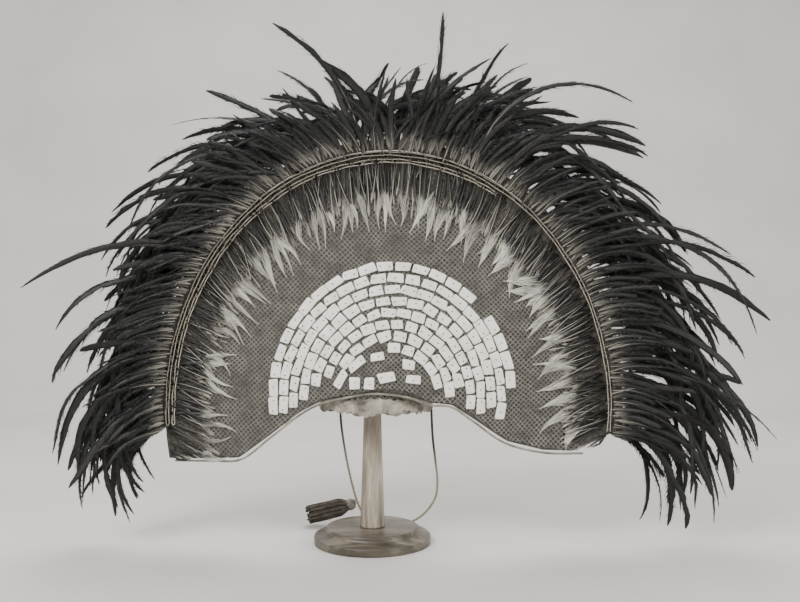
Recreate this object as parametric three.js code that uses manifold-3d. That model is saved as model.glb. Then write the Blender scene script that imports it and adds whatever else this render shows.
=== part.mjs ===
// A feathered fan headdress standing on a plain turned wooden stand.
// Millimetres, +Z up. The wearer would face -Y, so +X is the wearer's left and +Y is behind
// the head. The origin is the centre of the stand's underside.
import * as THREE from 'three';
import { mergeVertices } from 'three/addons/utils/BufferGeometryUtils.js';
import Module from 'manifold-3d';

const wasm = await Module();
wasm.setup();

const { degToRad, lerp, clamp, smoothstep } = THREE.MathUtils;
const mergeDistance = 1e-3;
const gap = 0.3;

// The stand: a disc with a cove up to a smaller disc, and a tapering post.
const stand = {
  baseRadius: 93, rimHeight: 12.5, upperRadius: 71, upperHeight: 25.5,
  postHeight: 323.9, turnedSides: 32, postSides: 20,
};

// The netting panel stands up as part of an upright ellipse. Reach is the share of the
// ellipse's radius: 0 at its centre, 1 at the cane strips.
const fan = {
  centreX: 26, centreZ: 215, halfWidth: 344, height: 394,
  rimY: -50, dish: 43, sweep: 26, thickness: 3, outerReach: 1.02,
  leftAngle: 191, rightAngle: -5.4, columnStep: 14, rows: 4,
};

// Lower edge of the panel: the fan angle of each column and the point where it starts.
const lowerEdge = [
  { angle: 191, x: -309, z: 138 },
  { angle: 187, x: -250, z: 139 },
  { angle: 183, x: -205, z: 142 },
  { angle: 177, x: -158, z: 177 },
  { angle: 170, x: -109, z: 215 },
  { angle: 160, x: -78, z: 231.5 },
  { angle: 140, x: -47, z: 240 },
  { angle: 95, x: 6.5, z: 248.5 },
  { angle: 50, x: 59, z: 242.5 },
  { angle: 25, x: 89, z: 231 },
  { angle: 12, x: 123, z: 227 },
  { angle: 5, x: 159, z: 203 },
  { angle: 0, x: 207, z: 169.5 },
  { angle: -3, x: 270, z: 152.5 },
  { angle: -4.5, x: 330, z: 150 },
  { angle: -5.4, x: 366, z: 172 },
];

// Shell plates: rows follow ellipses about one centre, each row a step smaller than the last.
const plate = {
  width: 14.6, thickness: 2, sink: 1, hover: 1.1, endGap: 1,
  centreX: 32.6, centreZ: 235, rowHalfWidth: 183, rowHeight: 203, stepX: 16, stepZ: 17.8,
};
const plateRows = [
  { row: 1, from: 187, to: 47, count: 17, loose: true },
  { row: 1, from: 38, to: 4, count: 4, loose: true },
  { row: 2, from: 187, to: -10, count: 23, loose: false },
  { row: 3, from: 185, to: -5, count: 21, loose: false },
  { row: 4, from: 181, to: -9, count: 19, loose: false },
  { row: 5, from: 172, to: -7, count: 17, loose: false },
  { row: 6, from: 164, to: 9, count: 13, loose: false },
  { row: 7, from: 150, to: 2, count: 10, loose: false },
  { row: 8, from: 97, to: 12, count: 5, loose: true },
];
const browPlates = [
  { x: -45, z: 266, tilt: 58, length: 28, width: 13 },
  { x: -21, z: 289, tilt: 50, length: 28, width: 13 },
  { x: 10, z: 300, tilt: 17, length: 22, width: 12 },
  { x: -24, z: 260, tilt: -2, length: 18, width: 17 },
  { x: -2, z: 260, tilt: 2, length: 16.5, width: 17 },
  { x: 24, z: 269, tilt: 8, length: 25, width: 16 },
  { x: 64, z: 266, tilt: -8, length: 24, width: 13.5 },
  { x: 57, z: 288, tilt: -15, length: 18.5, width: 14 },
];

// The cap behind the panel, open below, and the crumpled lining that hangs out of it.
const cap = {
  centreX: 6, centreY: 5.3, halfWidth: 86, halfDepth: 88, rimZ: 218, crownZ: 332, wall: 2.5,
  columns: 20, rows: 5, fullness: 2.3,
};
const lining = { wall: 2, edgeZ: 213, ragged: 3, crumple: 0.9 };

// Light split-cane strips laid in arcs over the feather quills.
const cane = { width: 2.8, thickness: 1.8, lift: 5.6, step: 8 };
const caneStrips = [
  { name: 'cane_strip_outer_1', reach: 1.0145, from: 183, to: -5 },
  { name: 'cane_strip_outer_2', reach: 1.002, from: 183, to: -5 },
  { name: 'cane_strip_inner_1', reach: 0.985, from: 183, to: 60 },
  { name: 'cane_strip_inner_2', reach: 0.972, from: 183, to: 60 },
];

const shortFeathers = { inner: 0.845, notch: 0.02, outer: 0.995, lift: 1, thickness: 4, count: 44 };
const tufts = { point: 0.675, notch: 0.785, outer: 0.832, lift: 1, thickness: 3.6, count: 38 };

// Long plumes. Each lock of feathers leaves the binding ring at its root angle, sets off at
// its heading and turns through the given angle along its length.
const plumeFlow = [
  { root: 184, heading: 190, turn: 84, length: 215 },
  { root: 170, heading: 177, turn: 97, length: 276 },
  { root: 155, heading: 169, turn: 95, length: 242 },
  { root: 140, heading: 158, turn: 92, length: 240 },
  { root: 128, heading: 149, turn: 96, length: 275 },
  { root: 118, heading: 138, turn: 96, length: 290 },
  { root: 104, heading: 112, turn: 62, length: 200 },
  { root: 95, heading: 99, turn: 30, length: 180 },
  { root: 84, heading: 85, turn: 6, length: 175 },
  { root: 75, heading: 78, turn: -30, length: 215 },
  { root: 66, heading: 66, turn: -100, length: 262 },
  { root: 52, heading: 54, turn: -116, length: 262 },
  { root: 38, heading: 42, turn: -96, length: 275 },
  { root: 24, heading: 30, turn: -92, length: 292 },
  { root: 10, heading: 20, turn: -96, length: 315 },
  { root: -5, heading: 0, turn: -84, length: 255 },
];
const plume = {
  ringInner: 1.027, ringOuter: 1.055, ringFront: 26, ringBack: 18, ringStep: 6,
  rootReach: 1.036, locks: 7, segments: 5, width: 32, thickness: 5.4, turnDone: 0.9,
  layers: 3, layerY: -20, layerStep: 6.4, splay: -0.16, splayStep: 0.07, sectorGap: 0.2,
};
const sectorBounds = [184.5, 161, 138, 115, 92, 69, 45, 20, -6];

// Single feathers that stand out of the mass, in front of the other locks.
const strayFeathers = [
  { sector: 2, root: 143, heading: 153, turn: 66, length: 286 },
  { sector: 3, root: 117, heading: 132, turn: 124, length: 302 },
  { sector: 4, root: 97, heading: 84, turn: 66, length: 230 },
  { sector: 5, root: 80, heading: 80, turn: 8, length: 198 },
  { sector: 6, root: 68, heading: 82, turn: -118, length: 300 },
  { sector: 7, root: 37, heading: 34, turn: -108, length: 350 },
  { sector: 8, root: 9, heading: 9, turn: -62, length: 264 },
];

// One chin cord, hung as a loop from both sides of the cap's rim, with a tassel on it.
const cordRadius = 2.3;
const cordRoute = [
  { x: -55.1, y: 71.4, z: 223 }, { x: -56, y: 73.5, z: 205 }, { x: -55, y: 78, z: 178 },
  { x: -51, y: 84, z: 145 }, { x: -45, y: 91, z: 108 }, { x: -37, y: 98, z: 70 },
  { x: -28.4, y: 102.5, z: 40 }, { x: -17, y: 108, z: 17 }, { x: -2, y: 112, z: 5 },
  { x: 18, y: 114, z: 2.7 }, { x: 40, y: 114, z: 2.7 }, { x: 58, y: 112, z: 3.5 },
  { x: 76, y: 108, z: 12 }, { x: 94, y: 100, z: 31 }, { x: 105, y: 88, z: 54 },
  { x: 107, y: 74, z: 84 }, { x: 103, y: 56, z: 120 }, { x: 98, y: 38, z: 160 },
  { x: 95.5, y: 22, z: 198 }, { x: 94.6, y: 14.4, z: 223 },
];
const tassel = {
  headX: -40, headY: 102, headZ: 37, endX: -122, endY: 100, endZ: 17.5, headRadius: 10,
  endRadius: 17, strands: 9, strandRadius: 5.4,
};

const materials = {
  wood: new THREE.MeshStandardMaterial({ color: 0xb9ab95, roughness: 0.55, metalness: 0 }),
  netting: new THREE.MeshStandardMaterial({ color: 0x6f675b, roughness: 0.9, metalness: 0 }),
  lining: new THREE.MeshStandardMaterial({ color: 0xb3a995, roughness: 0.95, metalness: 0 }),
  shell: new THREE.MeshStandardMaterial({ color: 0xefeae0, roughness: 0.35, metalness: 0 }),
  cane: new THREE.MeshStandardMaterial({ color: 0xa39a86, roughness: 0.5, metalness: 0 }),
  darkFeather: new THREE.MeshStandardMaterial({ color: 0x1b1a1c, roughness: 0.45, metalness: 0 }),
  paleFeather: new THREE.MeshStandardMaterial({ color: 0xd8d3c8, roughness: 0.8, metalness: 0 }),
  cord: new THREE.MeshStandardMaterial({ color: 0x8d8371, roughness: 0.9, metalness: 0 }),
  tassel: new THREE.MeshStandardMaterial({ color: 0x2f2b28, roughness: 0.9, metalness: 0 }),
};

const headdress = new THREE.Group();

function addPiece(name, geometry, material) {
  const mesh = new THREE.Mesh(geometry, material);
  mesh.name = name;
  headdress.add(mesh);
}

// Row of a table with named columns at any value of its key, read straight between its rows.
function readTable(table, key, value) {
  const rising = [...table].sort((a, b) => a[key] - b[key]);
  const found = rising.findIndex((row) => row[key] >= value);
  const upper = found < 0 ? rising.length - 1 : Math.max(found, 1);
  const low = rising[upper - 1];
  const high = rising[upper];
  const share = clamp((value - low[key]) / (high[key] - low[key]), 0, 1);
  return Object.fromEntries(Object.keys(low).map((name) => [name, lerp(low[name], high[name], share)]));
}

function signedVolume(geometry) {
  const position = geometry.attributes.position;
  const corners = geometry.index.array;
  const [a, b, c] = [new THREE.Vector3(), new THREE.Vector3(), new THREE.Vector3()];
  let volume = 0;
  for (let i = 0; i < corners.length; i += 3) {
    a.fromBufferAttribute(position, corners[i]);
    b.fromBufferAttribute(position, corners[i + 1]);
    c.fromBufferAttribute(position, corners[i + 2]);
    volume += a.dot(b.cross(c)) / 6;
  }
  return volume;
}

// Closed body from corner points and triangles. Doubled corners are merged, triangles that
// closed up are dropped, and all are turned round if they point inwards.
function closedBody(points, faces) {
  const loose = new THREE.BufferGeometry().setFromPoints(points);
  loose.setIndex(faces.flat());
  const body = mergeVertices(loose, mergeDistance);
  const corners = [...body.index.array];
  const kept = [];
  for (let i = 0; i < corners.length; i += 3) {
    const [a, b, c] = corners.slice(i, i + 3);
    if (a !== b && b !== c && c !== a) kept.push([a, b, c]);
  }
  body.setIndex(kept.flat());
  if (signedVolume(body) < 0) body.setIndex(kept.map(([a, b, c]) => [a, c, b]).flat());
  return body;
}

// Skin through rings that have the same number of corners, with both ends closed.
function loft(rings) {
  const sides = rings[0].length;
  const last = (rings.length - 1) * sides;
  const faces = [];
  for (let start = 0; start < last; start += sides) {
    for (let side = 0; side < sides; side += 1) {
      const a = start + side;
      const b = start + ((side + 1) % sides);
      faces.push([a, b, b + sides], [a, b + sides, a + sides]);
    }
  }
  for (let side = 1; side < sides - 1; side += 1) {
    faces.push([0, side + 1, side], [last, last + side, last + side + 1]);
  }
  return closedBody(rings.flat(), faces);
}

// Wall between two grids of points, columns[column][row]; a round one joins its ends.
function wall(front, back, round = false) {
  const columns = front.length;
  const rows = front[0].length;
  const at = (side, column, row) => (side * columns + (column % columns)) * rows + row;
  const faces = [];
  const quad = (a, b, c, d) => faces.push([a, b, c], [a, c, d]);
  for (let c = 0; c < (round ? columns : columns - 1); c += 1) {
    for (let r = 0; r < rows - 1; r += 1) {
      quad(at(0, c, r), at(0, c + 1, r), at(0, c + 1, r + 1), at(0, c, r + 1));
      quad(at(1, c, r), at(1, c, r + 1), at(1, c + 1, r + 1), at(1, c + 1, r));
    }
    quad(at(0, c, 0), at(1, c, 0), at(1, c + 1, 0), at(0, c + 1, 0));
    quad(at(0, c, rows - 1), at(0, c + 1, rows - 1), at(1, c + 1, rows - 1), at(1, c, rows - 1));
  }
  for (let r = 0; r < rows - 1 && !round; r += 1) {
    quad(at(0, 0, r), at(0, 0, r + 1), at(1, 0, r + 1), at(1, 0, r));
    quad(at(0, columns - 1, r), at(1, columns - 1, r), at(1, columns - 1, r + 1), at(0, columns - 1, r + 1));
  }
  return closedBody([...front.flat(), ...back.flat()], faces);
}

function solidOf(geometry) {
  const bare = geometry.clone();
  bare.deleteAttribute('normal');
  bare.deleteAttribute('uv');
  const merged = mergeVertices(bare, mergeDistance);
  return new wasm.Manifold(new wasm.Mesh({
    numProp: 3,
    vertProperties: new Float32Array(merged.attributes.position.array),
    triVerts: new Uint32Array(merged.index.array),
  }));
}

function geometryOf(solid) {
  const mesh = solid.getMesh();
  const geometry = new THREE.BufferGeometry();
  geometry.setAttribute('position', new THREE.BufferAttribute(mesh.vertProperties, 3));
  geometry.setIndex(new THREE.BufferAttribute(mesh.triVerts, 1));
  return geometry;
}

// Several closed bodies made one.
function fuse(geometries) {
  return geometryOf(geometries.map(solidOf).reduce((whole, next) => whole.add(next)));
}

function roundSection(radius, sides) {
  const corners = [];
  for (let side = 0; side < sides; side += 1) {
    const angle = (2 * Math.PI * side) / sides;
    corners.push(new THREE.Vector2(radius * Math.cos(angle), radius * Math.sin(angle)));
  }
  return new THREE.Shape(corners);
}

function roundTube(points, radius, sides, steps) {
  const extrudePath = new THREE.CatmullRomCurve3(points, false, 'centripetal');
  return new THREE.ExtrudeGeometry(roundSection(radius, sides), { steps, bevelEnabled: false, extrudePath });
}

// ---- the fan's surface ----

function fanPoint(angle, reach) {
  return {
    x: fan.centreX + fan.halfWidth * reach * Math.cos(degToRad(angle)),
    z: fan.centreZ + fan.height * reach * Math.sin(degToRad(angle)),
  };
}

function fanReach(x, z) {
  return Math.hypot((x - fan.centreX) / fan.halfWidth, (z - fan.centreZ) / fan.height);
}

// Point on the panel's front face, or lifted proud of it. The face comes forward towards the
// brow and its sides are swept back.
function onFace(x, z, lift = 0) {
  const inward = Math.max(0, 1 - fanReach(x, z));
  const outward = clamp((x - fan.centreX) / fan.halfWidth, -1, 1);
  const y = fan.rimY - fan.dish * inward ** 2 + fan.sweep * outward ** 2 - lift;
  return new THREE.Vector3(x, y, z);
}

// Point of the panel's column at a fan angle, where the column crosses a given reach.
function columnPoint(angle, reach) {
  const inner = readTable(lowerEdge, 'angle', angle);
  const outer = fanPoint(angle, fan.outerReach);
  let [low, high] = [0.03, 1];
  for (let halving = 0; halving < 16; halving += 1) {
    const share = (low + high) / 2;
    const beyond = fanReach(lerp(inner.x, outer.x, share), lerp(inner.z, outer.z, share)) > reach;
    [low, high] = beyond ? [low, share] : [share, high];
  }
  return { x: lerp(inner.x, outer.x, low), z: lerp(inner.z, outer.z, low) };
}

function anglesBetween(from, to, step) {
  const count = Math.ceil(Math.abs(to - from) / step);
  return Array.from({ length: count + 1 }, (_, i) => lerp(from, to, i / count));
}

// ---- the stand ----

function standBase() {
  const { baseRadius, rimHeight, upperRadius, upperHeight } = stand;
  const profile = [
    [0, 0], [baseRadius - 1, 0], [baseRadius, 1], [baseRadius, rimHeight - 1.5],
    [baseRadius - 1.5, rimHeight], [upperRadius + 12, rimHeight + 1.2],
    [upperRadius + 5.5, rimHeight + 4], [upperRadius + 3, rimHeight + 8],
    [upperRadius + 2.6, upperHeight - 1.6], [upperRadius, upperHeight], [0, upperHeight],
  ];
  const lathe = new THREE.LatheGeometry(profile.map(([r, y]) => new THREE.Vector2(r, y)), stand.turnedSides);
  return lathe.rotateX(Math.PI / 2);
}

function standPost() {
  const bottom = stand.upperHeight + gap;
  const profile = [
    [0, bottom], [20, bottom], [19.4, bottom + 6], [16.4, 120], [14, 206], [13, stand.postHeight - 9],
    [11, stand.postHeight - 4.5], [7, stand.postHeight - 1.4], [0, stand.postHeight],
  ];
  const lathe = new THREE.LatheGeometry(profile.map(([r, y]) => new THREE.Vector2(r, y)), stand.postSides);
  return lathe.rotateX(Math.PI / 2);
}

// ---- the netting panel and its plates ----

function panelWall() {
  const angles = lowerEdge.slice(1).flatMap((row, i) => (
    anglesBetween(lowerEdge[i].angle, row.angle, fan.columnStep).slice(i === 0 ? 0 : 1)
  ));
  const column = (angle, lift) => {
    const inner = readTable(lowerEdge, 'angle', angle);
    const outer = fanPoint(angle, fan.outerReach);
    return Array.from({ length: fan.rows + 1 }, (_, row) => {
      const share = row / fan.rows;
      return onFace(lerp(inner.x, outer.x, share), lerp(inner.z, outer.z, share), lift);
    });
  };
  return wall(angles.map((a) => column(a, 0)), angles.map((a) => column(a, -fan.thickness)));
}

// Flat plate lying on the face at a point; tilt is the angle of its length above +X, and
// lift is the height of its underside over the face.
function plateBody({ x, z, tilt, length, width, lift }) {
  const step = 4;
  const [cos, sin] = [Math.cos(degToRad(tilt)), Math.sin(degToRad(tilt))];
  const near = (u, v) => onFace(x + u * cos - v * sin, z + u * sin + v * cos);
  const along = near(step, 0).sub(near(-step, 0)).normalize();
  const up = near(0, step).sub(near(0, -step)).normalize();
  const out = new THREE.Vector3().crossVectors(along, up).normalize();
  up.crossVectors(out, along);
  const centre = onFace(x, z).addScaledVector(out, lift + plate.thickness / 2);
  const body = new THREE.BoxGeometry(length, width, plate.thickness);
  return body.applyMatrix4(new THREE.Matrix4().makeBasis(along, up, out).setPosition(centre));
}

// Evenly spaced plates along one row's ellipse. Their length leaves room at the inner corners.
function rowPlates({ row, from, to, count, loose }) {
  const halfWidth = plate.rowHalfWidth - plate.stepX * (row - 1);
  const height = plate.rowHeight - plate.stepZ * (row - 1);
  const arc = new THREE.EllipseCurve(
    plate.centreX, plate.centreZ, halfWidth, height, degToRad(from), degToRad(to), true,
  );
  const pitch = arc.getLength() / count;
  const length = pitch * (1 - plate.width / 2 / halfWidth) - plate.endGap;
  return Array.from({ length: count }, (_, i) => {
    const point = arc.getPointAt((i + 0.5) / count);
    const tangent = arc.getTangentAt((i + 0.5) / count);
    const tilt = THREE.MathUtils.radToDeg(Math.atan2(tangent.y, tangent.x));
    const lift = loose ? plate.hover : -plate.sink;
    return { x: point.x, z: point.y, tilt, length, width: plate.width, lift };
  });
}

function addPanelAndPlates() {
  const rows = plateRows.map((row) => ({ loose: row.loose, plates: rowPlates(row) }));
  const sewn = rows.filter((row) => !row.loose).flatMap((row) => row.plates);
  addPiece('net_panel', fuse([panelWall(), ...sewn.map(plateBody)]), materials.netting);
  const single = [
    ...rows.filter((row) => row.loose).flatMap((row) => row.plates),
    ...browPlates.map((brow) => ({ ...brow, lift: plate.hover })),
  ];
  single.forEach((one, i) => {
    addPiece(`shell_plate_${String(i + 1).padStart(2, '0')}`, plateBody(one), materials.shell);
  });
}

// Cord bound along the panel's lower edge, just outside it.
function edgeCord() {
  const [radius, clearance, sides] = [2, 1.6, 6];
  const points = lowerEdge.map(({ x, z }, i) => {
    const before = lowerEdge[Math.max(i - 1, 0)];
    const after = lowerEdge[Math.min(i + 1, lowerEdge.length - 1)];
    const run = new THREE.Vector2(after.x - before.x, after.z - before.z).normalize();
    const off = radius + clearance;
    return onFace(x + run.y * off, z - run.x * off, -0.5);
  });
  return roundTube(points.slice(0, -1), radius, sides, 34);
}

// ---- the cap ----

// Point of a dome at an angle round it and a share of the way up, taken in by an inset.
function domePoint(angle, share, inset, rimZ) {
  const rise = Math.sin((share * Math.PI) / 2);
  const narrow = (1 - rise ** cap.fullness) ** (1 / cap.fullness);
  return new THREE.Vector3(
    cap.centreX + (cap.halfWidth - inset) * narrow * Math.cos(angle),
    cap.centreY + (cap.halfDepth - inset) * narrow * Math.sin(angle),
    lerp(rimZ, cap.crownZ - inset, rise),
  );
}

function dome(columns, rows, insetAt, rimAt, thickness) {
  const grid = (extra) => Array.from({ length: columns }, (_, column) => {
    const angle = (2 * Math.PI * column) / columns;
    return Array.from({ length: rows + 1 }, (__, row) => (
      domePoint(angle, row / rows, insetAt(angle, row / rows) + extra, rimAt(angle))
    ));
  });
  return wall(grid(0), grid(thickness), true);
}

function capBody() {
  return dome(cap.columns, cap.rows, () => 0, () => cap.rimZ, cap.wall);
}

function liningBody() {
  const inset = (angle, share) => (
    cap.wall + gap + 0.9 + lining.crumple * (1 - share) * (1 + Math.sin(9 * angle))
  );
  const edge = (angle) => lining.edgeZ + lining.ragged * Math.sin(5 * angle + 1) * Math.cos(3 * angle);
  return dome(cap.columns, cap.rows, inset, edge, lining.wall);
}

// ---- cane, short feathers and tufts ----

function caneStrip({ reach, from, to }) {
  const half = cane.width / 2 / fan.halfWidth;
  return loft(anglesBetween(from, to, cane.step).map((angle) => {
    const [inner, outer] = [fanPoint(angle, reach - half), fanPoint(angle, reach + half)];
    return [
      onFace(inner.x, inner.z, cane.lift), onFace(outer.x, outer.z, cane.lift),
      onFace(outer.x, outer.z, cane.lift + cane.thickness),
      onFace(inner.x, inner.z, cane.lift + cane.thickness),
    ];
  }));
}

// Band of short dark feathers with a pointed inner edge, one point for each feather.
function shortFeatherBand() {
  const { inner, notch, outer, lift, thickness, count } = shortFeathers;
  const angles = anglesBetween(fan.leftAngle - 0.4, fan.rightAngle + 0.2, 196 / (2 * count));
  const column = (angle, i, height) => {
    const start = columnPoint(angle, inner + (i % 2 ? notch : 0));
    const end = columnPoint(angle, outer);
    return [onFace(start.x, start.z, height), onFace(end.x, end.z, height)];
  };
  return wall(
    angles.map((a, i) => column(a, i, lift + thickness)), angles.map((a, i) => column(a, i, lift)),
  );
}

// Ring of pale fan-shaped tufts side by side, each with its point towards the brow.
function tuftRing() {
  const { point, notch, outer, lift, thickness, count } = tufts;
  const angles = anglesBetween(fan.leftAngle - 4.2, fan.rightAngle + 1.8, 192 / (2 * count));
  const column = (angle, i, height) => {
    const start = columnPoint(angle, i % 2 ? point + 0.02 * Math.sin(2.4 * i) : notch);
    const end = columnPoint(angle, outer);
    return [onFace(start.x, start.z, height), onFace(end.x, end.z, height)];
  };
  return wall(
    angles.map((a, i) => column(a, i, lift + thickness)), angles.map((a, i) => column(a, i, lift)),
  );
}

// ---- the long plumes ----

// Depth of a plume layer over any point of the fan's plane. Every layer lies wholly behind
// the one before it, and they splay apart away from the ring.
function layerDepth(x, z, layer) {
  const beyond = Math.max(0, fanReach(x, z) - plume.rootReach) * fan.halfWidth;
  const splay = plume.splay + plume.splayStep * layer;
  return onFace(x, z).y + plume.layerY + plume.layerStep * layer + splay * beyond;
}

// Curved, tapering lock with a four-sided section, broad across the fan's plane.
function plumeLock({ root, heading, turn, length }, layer, width) {
  const start = fanPoint(root, plume.rootReach);
  const samples = plume.segments * 6;
  const rings = [];
  let [x, z] = [start.x, start.z];
  for (let sample = 0; sample <= samples; sample += 1) {
    const share = sample / samples;
    const angle = degToRad(heading + turn * smoothstep(share, 0, plume.turnDone));
    if (sample % 6 === 0) {
      const spread = share < 0.3 ? lerp(0.45, 1, share / 0.3) : lerp(1, 0.07, ((share - 0.3) / 0.7) ** 1.6);
      const [sideX, sideZ] = [(-Math.sin(angle) * width * spread) / 2, (Math.cos(angle) * width * spread) / 2];
      const half = (plume.thickness / 2) * Math.max(spread, 0.3);
      const at = (u, lift) => {
        const [px, pz] = [x + sideX * u, z + sideZ * u];
        return new THREE.Vector3(px, layerDepth(px, pz, layer) + lift, pz);
      };
      rings.push([at(-1, 0), at(0, -half), at(1, 0), at(0, half)]);
    }
    x += (Math.cos(angle) * length) / samples;
    z += (Math.sin(angle) * length) / samples;
  }
  return loft(rings);
}

// Stretch of the bound ring that carries one sector's quills.
function ringSegment(from, to) {
  const { ringInner, ringOuter, ringFront, ringBack, ringStep } = plume;
  return loft(anglesBetween(from, to, ringStep).map((angle) => {
    const [inner, outer] = [fanPoint(angle, ringInner), fanPoint(angle, ringOuter)];
    return [
      onFace(inner.x, inner.z, ringFront), onFace(outer.x, outer.z, ringFront),
      onFace(outer.x, outer.z, -ringBack), onFace(inner.x, inner.z, -ringBack),
    ];
  }));
}

// Neighbouring sectors use alternate layers, so that their locks pass each other.
function plumeSector(number) {
  const [from, to] = [sectorBounds[number - 1] - plume.sectorGap, sectorBounds[number] + plume.sectorGap];
  const locks = Array.from({ length: plume.locks }, (_, i) => {
    const root = lerp(from, to, (i + 0.5) / plume.locks);
    const layer = 2 * (i % plume.layers) + (number % 2);
    const flow = readTable(plumeFlow, 'root', root);
    flow.length *= 0.94 + 0.1 * Math.sin(5 * i + number);
    return plumeLock(flow, layer, plume.width * (0.92 + 0.12 * Math.cos(3 * i + number)));
  });
  const strays = strayFeathers.filter(({ sector }) => sector === number);
  return fuse([
    ringSegment(from, to), ...locks, ...strays.map((stray) => plumeLock(stray, -1, plume.width * 0.5)),
  ]);
}

// ---- chin cord and tassel ----

function chinCord() {
  const points = cordRoute.map(({ x, y, z }) => new THREE.Vector3(x, y, z));
  return roundTube(points, cordRadius, 8, 36);
}

// Bundle of thick strands lying on the ground, gathered into a bound head.
function tasselBody() {
  const head = new THREE.Vector3(tassel.headX, tassel.headY, tassel.headZ);
  const end = new THREE.Vector3(tassel.endX, tassel.endY, tassel.endZ);
  const along = end.clone().sub(head).normalize();
  const level = new THREE.Vector3(0, 1, 0);
  const upward = new THREE.Vector3().crossVectors(level, along).normalize();
  if (upward.z < 0) upward.negate();
  const section = (centre, radius, sides, twist = 0) => Array.from({ length: sides }, (_, i) => {
    const angle = twist + (2 * Math.PI * i) / sides;
    return centre.clone().addScaledVector(level, radius * Math.cos(angle))
      .addScaledVector(upward, radius * Math.sin(angle));
  });
  const knot = loft([[-9, 3.5], [-4, 9], [4, tassel.headRadius], [16, tassel.headRadius - 1]].map(
    ([shift, radius]) => section(head.clone().addScaledVector(along, shift), radius, 8),
  ));
  const strands = Array.from({ length: tassel.strands }, (_, i) => {
    const ring = i === 0 ? 0 : 1;
    const angle = (2 * Math.PI * i) / (tassel.strands - 1) + 0.2;
    const spread = (radius) => new THREE.Vector3().addScaledVector(level, ring * radius * Math.cos(angle))
      .addScaledVector(upward, ring * radius * Math.sin(angle));
    const inside = tassel.endRadius - tassel.strandRadius;
    const stations = [
      { share: 0.1, radius: 4.5, thick: 3.6 },
      { share: 0.45, radius: inside * 0.82, thick: tassel.strandRadius },
      { share: 1 - 0.03 * (i % 3), radius: inside, thick: tassel.strandRadius * 0.9 },
    ];
    return loft(stations.map(({ share, radius, thick }) => (
      section(head.clone().lerp(end, share).add(spread(radius)), thick, 5, angle)
    )));
  });
  return fuse([knot, ...strands]);
}

addPiece('stand_base', standBase(), materials.wood);
addPiece('stand_post', standPost(), materials.wood);
addPiece('cap', capBody(), materials.netting);
addPiece('cap_lining', liningBody(), materials.lining);
addPanelAndPlates();
addPiece('edge_cord', edgeCord(), materials.cord);
caneStrips.forEach((strip) => addPiece(strip.name, caneStrip(strip), materials.cane));
addPiece('short_feathers', shortFeatherBand(), materials.darkFeather);
addPiece('pale_tufts', tuftRing(), materials.paleFeather);
for (let number = 1; number < sectorBounds.length; number += 1) {
  addPiece(`long_plumes_${number}`, plumeSector(number), materials.darkFeather);
}
addPiece('chin_cord', chinCord(), materials.cord);
addPiece('tassel', tasselBody(), materials.tassel);

export default headdress;
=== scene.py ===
# A feathered fan headdress on a plain turned wooden stand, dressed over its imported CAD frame.
# Lengths are in millimetres here and become metres when a mesh is made. The wearer would face -Y,
# +Z is up and the origin is the centre of the stand's underside.
import bpy
import numpy as np
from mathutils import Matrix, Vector


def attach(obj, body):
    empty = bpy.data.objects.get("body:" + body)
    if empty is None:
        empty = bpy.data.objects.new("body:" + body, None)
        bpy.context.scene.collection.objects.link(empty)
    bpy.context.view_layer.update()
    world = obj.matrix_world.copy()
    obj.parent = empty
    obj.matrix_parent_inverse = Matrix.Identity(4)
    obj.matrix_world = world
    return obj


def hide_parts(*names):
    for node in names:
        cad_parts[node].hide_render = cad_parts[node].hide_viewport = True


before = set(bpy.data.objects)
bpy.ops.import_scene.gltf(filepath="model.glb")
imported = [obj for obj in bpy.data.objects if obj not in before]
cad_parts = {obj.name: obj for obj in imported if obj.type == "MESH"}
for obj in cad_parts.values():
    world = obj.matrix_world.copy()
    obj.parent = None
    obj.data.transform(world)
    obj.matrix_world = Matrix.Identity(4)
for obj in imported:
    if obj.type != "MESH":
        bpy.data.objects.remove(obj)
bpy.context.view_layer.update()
print("frame loaded")


# Length of one is given to every vector along the last axis.
def unit(vectors):
    return vectors / np.maximum(np.linalg.norm(vectors, axis=-1, keepdims=True), 1e-12)


# 0 below the first value, 1 above the second, and 3t^2 - 2t^3 between them.
def smoothstep(value, low=0.0, high=1.0):
    t = np.clip((value - low) / (high - low), 0, 1)
    return t * t * (3 - 2 * t)


# Quads of a grid of points[column, row]; round joins the last row to the first.
def gridFaces(columns, rows, round=False):
    c, r = np.meshgrid(np.arange(columns - 1), np.arange(rows if round else rows - 1), indexing="ij")
    n = (r + 1) % rows
    return np.stack([c * rows + r, c * rows + n, (c + 1) * rows + n, (c + 1) * rows + r], -1).reshape(-1, 4)


# Faces of a tube of rings, with each end closed by one face.
def tubeFaces(rings, sides):
    caps = np.stack([np.arange(sides)[::-1], np.arange(sides) + (rings - 1) * sides])
    return [gridFaces(rings, sides, True), caps]


# The same faces over and over, for copies that follow each other in the list of points.
def repeatFaces(faces, copies, stride):
    shift = np.arange(copies)[:, None, None] * stride
    return [(group[None] + shift).reshape(-1, group.shape[1]) for group in faces]


# Signed volume is a sixth of the corner product summed over each face's fan of triangles; when it
# is negative the faces look inwards, and every one is turned round.
def outward(points, faces):
    volume = 0.0
    for group in faces:
        corner = points[group]
        for i in range(1, group.shape[1] - 1):
            volume += np.einsum("ij,ij->", corner[:, 0], np.cross(corner[:, i], corner[:, i + 1]))
    return faces if volume > 0 else [group[:, ::-1] for group in faces]


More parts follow.
